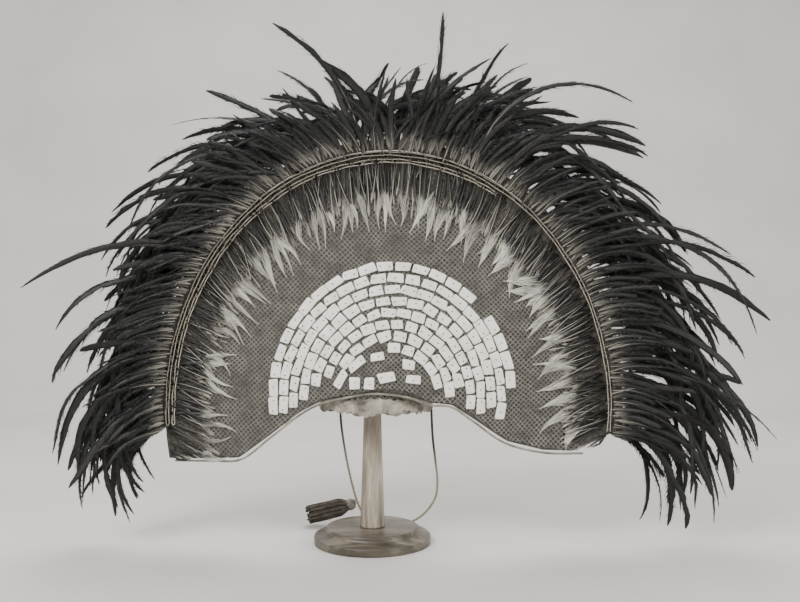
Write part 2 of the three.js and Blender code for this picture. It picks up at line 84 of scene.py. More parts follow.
# Several shapes made one: their points, faces and per-point values follow each other.
def joined(shapes):
    points, faces, values, start = [], [], {}, 0
    for shape in shapes:
        points.append(shape["points"])
        faces += [group + start for group in shape["faces"]]
        start += len(shape["points"])
        for name, data in shape.get("values", {}).items():
            values.setdefault(name, []).append(data)
    sides = {group.shape[1] for group in faces}
    faces = [np.concatenate([group for group in faces if group.shape[1] == n]) for n in sorted(sides)]
    merged = {name: np.concatenate(data) for name, data in values.items()}
    return {"points": np.concatenate(points), "faces": faces, "values": merged}


totals = {}


# One object at the origin. A value with two columns becomes the UV map, others become attributes.
def addObject(name, shape, material, replaced=(), smooth=True):
    points = shape["points"].reshape(-1, 3)
    loops = np.concatenate([group.ravel() for group in shape["faces"]])
    sizes = np.concatenate([np.full(len(group), group.shape[1]) for group in shape["faces"]])
    mesh = bpy.data.meshes.new(name)
    mesh.vertices.add(len(points))
    mesh.loops.add(len(loops))
    mesh.polygons.add(len(sizes))
    mesh.vertices.foreach_set("co", (points / 1000).astype(np.float32).ravel())
    mesh.loops.foreach_set("vertex_index", loops.astype(np.int32))
    mesh.polygons.foreach_set("loop_start", (np.cumsum(sizes) - sizes).astype(np.int32))
    mesh.polygons.foreach_set("use_smooth", np.full(len(sizes), smooth))
    mesh.update(calc_edges=True)
    for key, data in shape.get("values", {}).items():
        if data.ndim == 2:
            layer = mesh.uv_layers.new(name=key)
            layer.uv.foreach_set("vector", data[loops].astype(np.float32).ravel())
        else:
            mesh.attributes.new(key, "FLOAT", "POINT").data.foreach_set("value", data.astype(np.float32))
    mesh.materials.append(material)
    piece = bpy.data.objects.new(name, mesh)
    bpy.context.scene.collection.objects.link(piece)
    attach(piece, "root")
    if replaced:
        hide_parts(*replaced)
    totals[name] = int((sizes - 2).sum())
    print(f"{name}: {totals[name]} triangles")
    return piece


# Round section: x and y of evenly spaced corners.
def circle(sides, turn=0.0):
    angle = turn + 2 * np.pi * np.arange(sides) / sides
    return np.stack([np.cos(angle), np.sin(angle)], -1)


# Profile carried along a path: path + sideways * first offset + upwards * second offset, where
# sideways is square to the path and to the hint, and upwards is square to both.
def sweep(path, offsets, hint):
    tangent = unit(np.gradient(path, axis=-2))
    sideways = unit(np.cross(tangent, hint))
    upwards = np.cross(sideways, tangent)
    return (path[..., None, :] + sideways[..., None, :] * offsets[..., 0:1]
            + upwards[..., None, :] * offsets[..., 1:2])


# Points at equal distances along a path, read straight between its own.
def evenly(path, count):
    along = np.concatenate([[0], np.cumsum(np.linalg.norm(np.diff(path, axis=0), axis=1))])
    at = np.linspace(0, along[-1], count)
    return np.stack([np.interp(at, along, path[:, i]) for i in range(3)], -1)


# Centripetal Catmull-Rom: knots lie a root of the distance apart, and every span blends the lines
# through its four nearest points by their knots.
def throughPoints(route, count):
    p = np.array(route, float)
    p = np.vstack([2 * p[0] - p[1], p, 2 * p[-1] - p[-2]])
    knots = np.concatenate([[0], np.cumsum(np.sqrt(np.linalg.norm(np.diff(p, axis=0), axis=1)))])
    t = np.linspace(knots[1], knots[-2] - 1e-9, count * 8)
    i = np.searchsorted(knots, t, side="right") - 1
    k = [knots[i + j] for j in (-1, 0, 1, 2)]

    def blend(a, b, low, high):
        return a + (b - a) * ((t - low) / (high - low))[:, None]

    lines = [blend(p[i + j - 1], p[i + j], k[j], k[j + 1]) for j in (0, 1, 2)]
    curves = [blend(lines[0], lines[1], k[0], k[2]), blend(lines[1], lines[2], k[1], k[3])]
    return evenly(blend(curves[0], curves[1], k[1], k[2]), count)


# Round tube along a path with its radius given once or at each point. The UV map runs once
# round, and in centimetres along.
def tube(path, radius, sides, hint):
    radius = np.broadcast_to(radius, len(path))
    points = sweep(path, circle(sides)[None] * radius[:, None, None], hint)
    along = np.concatenate([[0], np.cumsum(np.linalg.norm(np.diff(path, axis=0), axis=1))]) / 10
    uv = np.stack(np.broadcast_arrays(np.arange(sides)[None] / sides, along[:, None]), -1)
    points = points.reshape(-1, 3)
    faces = outward(points, tubeFaces(len(path), sides))
    return {"points": points, "faces": faces, "values": {"UVMap": uv.reshape(-1, 2)}}


# Plied cord: each ply's middle runs round the cord's at half its radius, once for each lay.
def pliedCord(path, radius, plies, lay, sides, hint):
    along = np.concatenate([[0], np.cumsum(np.linalg.norm(np.diff(path, axis=0), axis=1))])
    shapes = []
    for ply in range(plies):
        turn = 2 * np.pi * (along / lay + ply / plies)
        offset = np.stack([np.cos(turn), np.sin(turn)], -1)[:, None] * radius * 0.47
        middle = sweep(path, offset, hint)[:, 0]
        shapes.append(tube(middle, radius * 0.56, sides, hint))
    return joined(shapes)


# Surface of revolution about the origin's vertical: (radius, height) of each ring, ends closed.
def lathe(profile, sides):
    profile = np.array(profile, float)
    ring = circle(sides)
    flat = profile[:, None, :1] * ring[None]
    points = np.concatenate([flat, np.broadcast_to(profile[:, None, 1:], flat.shape[:2] + (1,))], -1)
    points = points.reshape(-1, 3)
    return {"points": points, "faces": outward(points, tubeFaces(len(profile), sides))}


# sRGB hex to linear colour: the display's curve is undone for each channel.
def linearColour(hexColour):
    channels = [int(hexColour[i:i + 2], 16) / 255 for i in (1, 3, 5)]
    return [c / 12.92 if c <= 0.04045 else ((c + 0.055) / 1.055) ** 2.4 for c in channels] + [1.0]


# One node: settings are its options, socket values and colour stops by name, and links are the
# sockets that feed it. A disabled socket of the same name is passed over.
def addNode(tree, kind, settings=(), links=()):
    node = tree.nodes.new("ShaderNode" + kind)
    for name, value in dict(settings).items():
        if name == "stops":
            ramp = node.color_ramp.elements
            for i, (place, colour) in enumerate(value):
                stop = ramp[i] if i < 2 else ramp.new(place)
                stop.position = place
                stop.color = linearColour(colour)
        elif hasattr(node, name):
            setattr(node, name, value)
        else:
            socket = next(s for s in node.inputs if s.name == name and s.enabled)
            socket.default_value = linearColour(value) if isinstance(value, str) else value
    for name, source in dict(links).items():
        socket = node.inputs[name] if isinstance(name, int) else next(
            s for s in node.inputs if s.name == name and s.enabled)
        tree.links.new(source, socket)
    return node


# Principled material; finish holds constants for its sockets.
def newMaterial(name, finish):
    material = bpy.data.materials.new(name)
    material.use_nodes = True
    shader = material.node_tree.nodes["Principled BSDF"]
    for socket, value in finish.items():
        shader.inputs[socket].default_value = linearColour(value) if isinstance(value, str) else value
    return material, material.node_tree, shader


# Base colour and height of a finished pattern go to the shader; distance is the relief in metres.
def finishMaterial(tree, shader, colour, height, distance, strength=1.0):
    tree.links.new(colour, shader.inputs["Base Color"])
    bump = addNode(tree, "Bump", {"Distance": distance, "Strength": strength}, {"Height": height})
    tree.links.new(bump.outputs["Normal"], shader.inputs["Normal"])


# Object coordinates, or the piece's UV map, stretched by a scale per metre on each axis.
def patternSpace(tree, scale, uv=False):
    if uv:
        source = addNode(tree, "UVMap", {"uv_map": "UVMap"}).outputs["UV"]
    else:
        source = addNode(tree, "TexCoord").outputs["Object"]
    return addNode(tree, "Mapping", {"Scale": scale}, {"Vector": source}).outputs["Vector"]


# Two colours, each a hex value or a socket, mixed by a factor.
def mixColours(tree, factor, first, second, mode="MIX"):
    settings, links = {"data_type": "RGBA", "blend_type": mode}, {}
    for name, value in (("Factor", factor), ("A", first), ("B", second)):
        (links if isinstance(value, bpy.types.NodeSocket) else settings)[name] = value
    return next(s for s in addNode(tree, "Mix", settings, links).outputs if s.enabled)


# Waxed hardwood off the lathe: soft sheen, long grain along one axis and slow bands of tone.
def waxedWood(name, dark, mid, light, grainScale, turn):
    material, tree, shader = newMaterial(name, {
        "Roughness": 0.42, "IOR": 1.5, "Coat Weight": 0.2, "Coat Roughness": 0.3})
    source = addNode(tree, "TexCoord").outputs["Object"]
    grainSpace = addNode(tree, "Mapping", {"Scale": grainScale, "Rotation": turn}, {"Vector": source})
    grain = addNode(tree, "TexNoise", {"Scale": 1.0, "Detail": 5.0, "Roughness": 0.62},
                    {"Vector": grainSpace.outputs["Vector"]})
    bandSpace = addNode(tree, "Mapping", {"Scale": tuple(g / 6 + 3 for g in grainScale), "Rotation": turn},
                        {"Vector": source}).outputs["Vector"]
    bands = addNode(tree, "TexNoise", {"Scale": 1.0, "Detail": 3.0, "Distortion": 0.8}, {"Vector": bandSpace})
    tone = addNode(tree, "ValToRGB", {"stops": [(0.3, dark), (0.7, light), (0.5, mid)]},
                   {"Fac": bands.outputs["Fac"]})
    lines = addNode(tree, "ValToRGB", {"stops": [(0.35, "#a89e8c"), (0.62, "#ffffff")]},
                    {"Fac": grain.outputs["Fac"]})
    colour = mixColours(tree, 0.55, tone.outputs["Color"], lines.outputs["Color"], "MULTIPLY")
    finishMaterial(tree, shader, colour, grain.outputs["Fac"], 0.0002, 0.5)
    return material


# Hand-spun plant twine: matt, fibrous and uneven from grey-brown to straw.
def spunTwine(name, dark, light, strandsPerCm=10, roughness=0.9):
    material, tree, shader = newMaterial(name, {"Roughness": roughness, "IOR": 1.45, "Sheen Weight": 0.25})
    space = patternSpace(tree, (3.0, strandsPerCm, 1.0), uv=True)
    strands = addNode(tree, "TexNoise", {"Scale": 1.0, "Detail": 4.0, "Roughness": 0.7}, {"Vector": space})
    patches = addNode(tree, "TexNoise", {"Scale": 1.0, "Detail": 2.0},
                      {"Vector": patternSpace(tree, (60, 60, 60))})
    mixed = addNode(tree, "Math", {"operation": "ADD"},
                    {0: strands.outputs["Fac"], 1: patches.outputs["Fac"]})
    colour = addNode(tree, "MapRange", {"From Min": 0.76, "From Max": 1.24},
                     {"Value": mixed.outputs["Value"]})
    colour = addNode(tree, "ValToRGB", {"stops": [(0.0, dark), (1.0, light)]},
                     {"Fac": colour.outputs["Result"]}).outputs["Color"]
    finishMaterial(tree, shader, colour, strands.outputs["Fac"], 0.0004, 0.8)
    return material


# Plied plant fibre of the chin cord: dark near both ends, where it hangs from the cap, and pale between them.
def endDarkCord():
    material, tree, shader = newMaterial("plied_plant_fibre_dark_ends", {
        "Roughness": 0.9, "IOR": 1.45, "Sheen Weight": 0.25})
    strands = addNode(tree, "TexNoise", {"Scale": 1.0, "Detail": 4.0, "Roughness": 0.7},
                      {"Vector": patternSpace(tree, (4.0, 9.0, 1.0), uv=True)})
    along = addNode(tree, "SeparateXYZ", {}, {"Vector": patternSpace(tree, (1.0, 1.0, 1.0), uv=True)})
    share = addNode(tree, "MapRange", {"From Max": 55.7},  # the cord's length in centimetres
                    {"Value": along.outputs["Y"]}).outputs["Result"]
    # Colour along the cord: dark over both ends and pale along the middle.
    endTone = addNode(tree, "ValToRGB", {"stops": [
        (0.10, "#4a4136"), (0.95, "#4a4136"), (0.22, "#b9af9c"), (0.86, "#b9af9c")]}, {"Fac": share})
    fibres = addNode(tree, "ValToRGB", {"stops": [(0.35, "#7a7264"), (0.6, "#ffffff")]},
                     {"Fac": strands.outputs["Fac"]})
    colour = mixColours(tree, 0.8, endTone.outputs["Color"], fibres.outputs["Color"], "MULTIPLY")
    finishMaterial(tree, shader, colour, strands.outputs["Fac"], 0.0005, 0.9)
    return material


# Dark ground between the net's threads: matt fibre in shade.
def netGround():
    material, tree, shader = newMaterial("matted_net_fibre", {"Roughness": 0.95, "IOR": 1.45})
    loops = addNode(tree, "TexNoise", {"Scale": 1.0, "Detail": 4.0, "Roughness": 0.7, "Distortion": 1.2},
                    {"Vector": patternSpace(tree, (330, 330, 330))})  # curled fibres about 3 mm across
    colour = addNode(tree, "ValToRGB", {"stops": [(0.38, "#24211e"), (0.66, "#6f6b64")]},
                     {"Fac": loops.outputs["Fac"]}).outputs["Color"]
    finishMaterial(tree, shader, colour, loops.outputs["Fac"], 0.0015)
    return material


# Unbleached cloth lining, creased by hand: matt, with a plain weave 1 mm apart.
def creasedCloth():
    material, tree, shader = newMaterial("creased_plain_cloth", {
        "Roughness": 0.95, "IOR": 1.45, "Sheen Weight": 0.3})
    weave = addNode(tree, "TexWave", {"Scale": 1.0, "Distortion": 1.5, "bands_direction": "Z"},
                    {"Vector": patternSpace(tree, (160, 160, 160))})
    stains = addNode(tree, "TexNoise", {"Scale": 1.0, "Detail": 4.0},
                     {"Vector": patternSpace(tree, (45, 45, 45))})
    colour = addNode(tree, "ValToRGB", {"stops": [(0.34, "#5f594d"), (0.58, "#c9c1b0")]},
                     {"Fac": stains.outputs["Fac"]}).outputs["Color"]
    both = addNode(tree, "Math", {"operation": "ADD"}, {0: weave.outputs["Fac"], 1: stains.outputs["Fac"]})
    finishMaterial(tree, shader, colour, both.outputs["Value"], 0.0012)
    return material


# Ground shell: nearly white, smooth with a low gloss, faint growth lines and a little light inside.
def groundShell():
    material, tree, shader = newMaterial("ground_polished_shell", {
        "Roughness": 0.42, "IOR": 1.53, "Subsurface Weight": 0.08, "Subsurface Scale": 0.002})
    clouds = addNode(tree, "TexNoise", {"Scale": 1.0, "Detail": 3.0},
                     {"Vector": patternSpace(tree, (70, 70, 70))})
    linesSpace = patternSpace(tree, (2.0, 9.0, 1.0), uv=True)  # growth lines about 1 mm apart
    growth = addNode(tree, "TexNoise", {"Scale": 1.0, "Detail": 3.0, "Roughness": 0.6},
                     {"Vector": linesSpace})
    tone = addNode(tree, "ValToRGB", {"stops": [(0.3, "#e9e4d9"), (0.65, "#fbf9f4")]},
                   {"Fac": clouds.outputs["Fac"]}).outputs["Color"]
    lines = addNode(tree, "ValToRGB", {"stops": [(0.3, "#eeeae0"), (0.55, "#ffffff")]},
                    {"Fac": growth.outputs["Fac"]}).outputs["Color"]
    colour = mixColours(tree, 0.6, tone, lines, "MULTIPLY")
    finishMaterial(tree, shader, colour, growth.outputs["Fac"], 0.0001, 0.5)
    return material


# Split cane: pale and smooth, with long fibres and darker nicks.
def splitCane():
    material, tree, shader = newMaterial("split_scraped_cane", {"Roughness": 0.5, "IOR": 1.5})
    fibres = addNode(tree, "TexNoise", {"Scale": 1.0, "Detail": 4.0, "Roughness": 0.7},
                     {"Vector": patternSpace(tree, (14.0, 0.9, 1.0), uv=True)})
    colour = addNode(tree, "ValToRGB", {"stops": [(0.3, "#938a79"), (0.58, "#ddd5c3")]},
                     {"Fac": fibres.outputs["Fac"]}).outputs["Color"]
    finishMaterial(tree, shader, colour, fibres.outputs["Fac"], 0.0003, 0.6)
    return material


# Feather: barbs lie side by side like combed hair. On the black feathers the ramp's light stop is a
# painted highlight: streaks of sheen painted along the barbs over their own random tone. The
# pale attribute whitens the quill's foot and tone shifts each lock.
def combedFeather(name, dark, mid, light, paleDark, paleLight, finish):
    material, tree, shader = newMaterial(name, finish)
    barbSpace = patternSpace(tree, (1.2, 26.0, 1.0), uv=True)  # barbs about 0.4 mm apart
    barbs = addNode(tree, "TexNoise", {"Scale": 1.0, "Detail": 3.0, "Roughness": 0.65}, {"Vector": barbSpace})
    tone = addNode(tree, "Attribute", {"attribute_name": "tone"}).outputs["Fac"]
    pale = addNode(tree, "Attribute", {"attribute_name": "pale"}).outputs["Fac"]
    shifted = addNode(tree, "Math", {"operation": "ADD"}, {0: barbs.outputs["Fac"], 1: tone})
    # On the black feathers this ramp's light stop paints the highlight streaks of sheen along the barbs.
    darkColour = addNode(tree, "ValToRGB", {"stops": [(0.25, dark), (0.85, light), (0.55, mid)]},
                         {"Fac": shifted.outputs["Value"]}).outputs["Color"]
    paleColour = addNode(tree, "ValToRGB", {"stops": [(0.3, paleDark), (0.6, paleLight)]},
                         {"Fac": shifted.outputs["Value"]}).outputs["Color"]
    colour = mixColours(tree, pale, darkColour, paleColour)
    finishMaterial(tree, shader, colour, barbs.outputs["Fac"], 0.0003, 0.7)
    return material


postWood = waxedWood("waxed_pale_hardwood", "#6f6658", "#9a907f", "#c3baa9", (360, 360, 30), (0, 0.35, 0.2))
baseWood = waxedWood("waxed_turned_hardwood", "#3b362f", "#574f44", "#7d7466", (26, 330, 330), (0, 0, 0.1))
netThread = spunTwine("spun_net_twine", "#4b4842", "#a19d93")
ground = netGround()
cloth = creasedCloth()
shell = groundShell()
cane = splitCane()
cordFibre = endDarkCord()
edgeFibre = spunTwine("bound_edge_cord", "#57504a", "#a8a192")
tasselFibre = spunTwine("dark_dyed_cord", "#26221d", "#6b6256")
darkThread = spunTwine("dark_sewing_thread", "#1d1916", "#383129")
# On the two black feathers the third colour is a painted highlight, the sheen streaks along the barbs.
blackFeather = combedFeather(
    "black_cock_tail_feather", "#050505", "#0f0f0f", "#383634", "#7d776b", "#cfc8ba",
    {"Roughness": 0.45, "IOR": 1.5, "Specular IOR Level": 0.4, "Sheen Weight": 0.03, "Sheen Roughness": 0.4})
shortFeather = combedFeather(
    "black_hackle_feather", "#070707", "#171615", "#67625a", "#948d80", "#e2dccf",
    {"Roughness": 0.45, "IOR": 1.5, "Specular IOR Level": 0.4, "Sheen Weight": 0.03})
down = combedFeather(
    "white_down_feather", "#6f695f", "#b3ada1", "#ece7dd", "#a19a8c", "#fbf8f1",
    {"Roughness": 0.75, "IOR": 1.45, "Sheen Weight": 0.4, "Subsurface Weight": 0.1,
     "Subsurface Scale": 0.003})
print("materials made")


chinCord = {
    "radius": 2.3, "plies": 2, "lay": 13, "sides": 8, "points": 260,
    "route": [
        (-55.1, 71.4, 223), (-56, 73.5, 205), (-55, 78, 178), (-51, 84, 145), (-45, 91, 108),
        (-37, 98, 70), (-28.4, 102.5, 40), (-17, 108, 17), (-2, 112, 5), (18, 114, 2.7),
        (40, 114, 2.7), (58, 112, 3.5), (76, 108, 12), (94, 100, 31), (105, 88, 54),
        (107, 74, 84), (103, 56, 120), (98, 38, 160), (95.5, 22, 198), (94.6, 14.4, 223),
    ],
}
tassel = {
    "head": (-40, 102, 37), "end": (-122, 100, 17.5), "endRadius": 17,
    "cords": 30, "cordRadius": 2.0, "lay": 9, "wraps": 7, "wrapRadius": 1.1, "seed": 7,
}


# Strands leave the bound head close together: each strand's distance from the middle grows by a
# smooth step over the first third of its length and then stays.
def tasselShapes():
    rng = np.random.default_rng(tassel["seed"])
    head, end = np.array(tassel["head"], float), np.array(tassel["end"], float)
    along = unit(end - head)
    level = np.array([0.0, 1.0, 0.0])
    upward = np.cross(level, along)
    upward *= np.sign(upward[2])
    share = np.linspace(0, 1, 34)
    strands = []
    for i in range(tassel["cords"]):
        angle = i * 2.399963 + rng.uniform(-0.2, 0.2)
        out = np.sqrt((i + 0.5) / tassel["cords"])
        reach = rng.uniform(0.84, 0.92)
        spread = out * (6 + (tassel["endRadius"] - tassel["cordRadius"] - 6) * smoothstep(share, 0, 0.3))
        wave = 1.3 * np.sin(2 * np.pi * share * rng.uniform(1.1, 1.9) + angle)
        middle = head + (end - head) * (share * reach)[:, None]
        middle = middle + level * (spread * np.cos(angle) + wave)[:, None]
        middle = middle + upward * (spread * np.sin(angle))[:, None]
        middle[:, 2] = np.maximum(middle[:, 2], tassel["cordRadius"] + 0.6)
        strands.append(pliedCord(evenly(middle, 44), tassel["cordRadius"], 2, tassel["lay"], 5, level))
    turns = np.linspace(0, 2 * np.pi * tassel["wraps"], 16 * tassel["wraps"])
    place = np.linspace(-8, 4, len(turns))
    hug = np.interp(place, [-8, -3, 2, 4], [5.0, 8.6, 9.4, 9.4])
    spiral = head + along * place[:, None] + level * (hug * np.cos(turns))[:, None]
    spiral = spiral + upward * (hug * np.sin(turns))[:, None]
    core = tube(head + along * np.linspace(-9, 6, 9)[:, None],
                np.array([2.5, 5, 7.2, 8.0, 8.4, 8.6, 8.6, 8.6, 8.4]), 14, level)
    return joined(strands), joined([core, tube(spiral, tassel["wrapRadius"], 6, along)])


cordPath = throughPoints(chinCord["route"], chinCord["points"])
chinShape = pliedCord(cordPath, chinCord["radius"], chinCord["plies"], chinCord["lay"], chinCord["sides"],
                      (0.1, 1.0, 0.05))
chin = addObject("chinCord", chinShape, cordFibre, ["chin_cord"])
strandShape, bindingShape = tasselShapes()
strands = addObject("tasselCords", strandShape, tasselFibre, ["tassel"])
binding = addObject("tasselBinding", bindingShape, edgeFibre)
print("chin cord and tassel made")


studio = {
    "cameraPlace": (0.0441, -1.446, 0.385), "lens": 40.68, "floorHalf": 4.0, "floorBack": 1.5,
    "wallHeight": 4.0, "keyPower": 100, "fillPower": 38, "topPower": 50, "roomLight": 1.1,
}


# Floor and backdrop in one sheet: level, then a quarter circle, then upright.
def backdropShape():
    radius, half = 900.0, studio["floorHalf"] * 1000
    back = studio["floorBack"] * 1000
    bend = np.linspace(0, np.pi / 2, 24)
    y = np.concatenate([[-half], back + radius * np.sin(bend), [back + radius]])
    z = np.concatenate([[0], radius * (1 - np.cos(bend)), [studio["wallHeight"] * 1000]])
    x = np.array([-half, half])
    points = np.stack(np.broadcast_arrays(x[:, None], y[None], z[None]), -1).reshape(-1, 3)
    return {"points": points, "faces": [gridFaces(2, len(y))]}


def addLight(name, place, aim, size, power):
    light = bpy.data.lights.new(name, "AREA")
    light.shape = "DISK"
    light.size = size
    light.energy = power
    lamp = bpy.data.objects.new(name, light)
    bpy.context.scene.collection.objects.link(lamp)
    lamp.location = place
    direction = Vector(aim) - Vector(place)
    lamp.rotation_euler = direction.to_track_quat("-Z", "Y").to_euler()


camera = bpy.data.objects.new("camera", bpy.data.cameras.new("camera"))
bpy.context.scene.collection.objects.link(camera)
camera.location = studio["cameraPlace"]
camera.rotation_euler = (np.pi / 2, 0, 0)
camera.data.lens = studio["lens"]
camera.data.sensor_width = 36
bpy.context.scene.camera = camera
addLight("keyLight", (-1.5, -2.2, 2.4), (0, 0, 0.4), 1.6, studio["keyPower"])
addLight("fillLight", (2.3, -1.8, 1.3), (0, 0, 0.4), 1.8, studio["fillPower"])
addLight("topLight", (0.1, 0.9, 2.6), (0, 0, 0.4), 1.8, studio["topPower"])
world = bpy.data.worlds.new("softRoom")
world.use_nodes = True
world.node_tree.nodes["Background"].inputs["Color"].default_value = linearColour("#d9d7d2")
world.node_tree.nodes["Background"].inputs["Strength"].default_value = studio["roomLight"]
bpy.context.scene.world = world

paper, paperTree, paperShader = newMaterial("matt_grey_paper", {"Roughness": 0.9})
paperNoise = addNode(paperTree, "TexNoise", {"Scale": 1.0, "Detail": 2.0},
                     {"Vector": patternSpace(paperTree, (3, 3, 3))})
paperColour = addNode(paperTree, "ValToRGB", {"stops": [(0.3, "#cbc9c5"), (0.7, "#d3d1cd")]},
                      {"Fac": paperNoise.outputs["Fac"]}).outputs["Color"]
paperTree.links.new(paperColour, paperShader.inputs["Base Color"])
backdropMesh = bpy.data.meshes.new("backdrop")
sheet = backdropShape()
backdropMesh.from_pydata((sheet["points"] / 1000).tolist(), [], sheet["faces"][0][:, ::-1].tolist())
backdropMesh.materials.append(paper)
backdropMesh.polygons.foreach_set("use_smooth", [True] * len(backdropMesh.polygons))
backdrop = bpy.data.objects.new("backdrop", backdropMesh)
bpy.context.scene.collection.objects.link(backdrop)
print("studio made")


stand = {
    "baseRadius": 93, "rimHeight": 12.5, "upperRadius": 71, "upperHeight": 25.5, "postHeight": 323.9,
    "sides": 96,
}


def standShapes():
    rim, rimTop = stand["baseRadius"], stand["rimHeight"]
    upper, top = stand["upperRadius"], stand["upperHeight"]
    profile = [(0.5, 0), (rim - 1, 0), (rim - 0.3, 0.3), (rim, 1), (rim, rimTop - 1.5)]
    profile += [(rim - 0.4, rimTop - 0.5), (rim - 1.5, rimTop)]
    profile += [(upper + 12, rimTop + 1.0), (upper + 11.6, rimTop + 1.2)]
    profile += [(upper + 3 + 8.6 * (1 - share) ** 2.2, rimTop + 1.2 + 7.6 * share)
                for share in np.linspace(0, 1, 12)]  # cove
    profile += [(upper + 2.8, top - 2.2), (upper + 2.4, top - 1.0), (upper + 1.4, top - 0.2)]
    profile += [(upper, top), (0.5, top)]
    low, high = top + 0.3, stand["postHeight"]
    heights = np.linspace(low + 6, high - 9, 30)
    body = np.interp(heights, [low + 6, 120, 206, high - 9], [19.4, 16.4, 14, 13])
    post = [(0.5, low), (19.6, low), (20, low + 0.5), (20, low + 2), (19.6, low + 4)]
    post += list(zip(body, heights)) + [(11, high - 4.5), (7, high - 1.4), (0.5, high)]
    return lathe(profile, stand["sides"]), lathe(post, stand["sides"])


baseShape, postShape = standShapes()
addObject("standBase", baseShape, baseWood, ["stand_base"])
addObject("standPost", postShape, postWood, ["stand_post"])
print("stand made")


fan = {
    "centreX": 26, "centreZ": 215, "halfWidth": 344, "height": 394, "rimY": -50, "dish": 43,
    "sweep": 26, "thickness": 3, "outerReach": 1.02, "leftAngle": 191, "rightAngle": -5.4,
}
lowerEdge = {
    "angle": [191, 187, 183, 177, 170, 160, 140, 95, 50, 25, 12, 5, 0, -3, -4.5, -5.4],
    "x": [-309, -250, -205, -158, -109, -78, -47, 6.5, 59, 89, 123, 159, 207, 270, 330, 366],
    "z": [138, 139, 142, 177, 215, 231.5, 240, 248.5, 242.5, 231, 227, 203, 169.5, 152.5, 150, 172],
}


# Point of the fan's ellipse: centre + reach times the half axes times cosine and sine.
def fanPoint(angle, reach):
    turn = np.radians(angle)
    return (fan["centreX"] + fan["halfWidth"] * reach * np.cos(turn),
            fan["centreZ"] + fan["height"] * reach * np.sin(turn))


def fanReach(x, z):
    return np.hypot((x - fan["centreX"]) / fan["halfWidth"], (z - fan["centreZ"]) / fan["height"])


# The face comes forward towards the brow by the square of what reach lacks of 1, and its sides
# go back by the square of the share of the half width. Lift is the height in front of the face.
def onFace(x, z, lift=0.0):
    inward = np.maximum(0, 1 - fanReach(x, z))
    outwards = np.clip((x - fan["centreX"]) / fan["halfWidth"], -1, 1)
    y = fan["rimY"] - fan["dish"] * inward ** 2 + fan["sweep"] * outwards ** 2 - lift
    return np.stack(np.broadcast_arrays(x, y, z), -1)


def readEdge(key, angle):
    return np.interp(angle, lowerEdge["angle"][::-1], lowerEdge[key][::-1])


# Columns run straight from the lower edge to the rim; the share along one where it crosses a
# reach is found by halving.
def columnPoint(angle, reach):
    angle, reach = np.broadcast_arrays(np.asarray(angle, float), np.asarray(reach, float))
    innerX, innerZ = readEdge("x", angle), readEdge("z", angle)
    outerX, outerZ = fanPoint(angle, fan["outerReach"])
    low, high = np.full(angle.shape, 0.03), np.ones(angle.shape)
    for _ in range(16):
        share = (low + high) / 2
        beyond = fanReach(innerX + (outerX - innerX) * share, innerZ + (outerZ - innerZ) * share) > reach
        low, high = np.where(beyond, low, share), np.where(beyond, share, high)
    return innerX + (outerX - innerX) * low, innerZ + (outerZ - innerZ) * low


net = {
    "columns": 150, "rows": 44, "pitch": 5.5, "threadRadius": 0.78, "weave": 0.55, "frontReach": 0.875,
    "backPitch": 9.5, "warp": 1.7,
}


# Whether a point lies on the panel: within a reach of the fan and above its lower edge by a margin.
def insidePanel(x, z, reachLimit, margin):
    count = 181
    angles = np.linspace(fan["leftAngle"], fan["rightAngle"], count)
    edgeX, edgeZ = readEdge("x", angles), readEdge("z", angles)
    order = np.argsort(edgeX)
    floor = np.interp(x, edgeX[order], edgeZ[order], left=1e6, right=1e6)
    return (fanReach(x, z) < reachLimit) & (z > floor + margin)


# Panel wall: a grid from the lower edge to the rim, at the face and at its thickness behind.
def panelShape():
    angles = np.linspace(fan["leftAngle"], fan["rightAngle"], net["columns"])
    share = np.linspace(0, 1, net["rows"])
    innerX, innerZ = readEdge("x", angles), readEdge("z", angles)
    outerX, outerZ = fanPoint(angles, fan["outerReach"])
    x = innerX[:, None] + (outerX - innerX)[:, None] * share
    z = innerZ[:, None] + (outerZ - innerZ)[:, None] * share
    front, back = onFace(x, z), onFace(x, z, -fan["thickness"])
    loop = np.concatenate([front, back[:, ::-1]], 1)
    points = loop.reshape(-1, 3)
    return {"points": points, "faces": outward(points, tubeFaces(net["columns"], 2 * net["rows"]))}


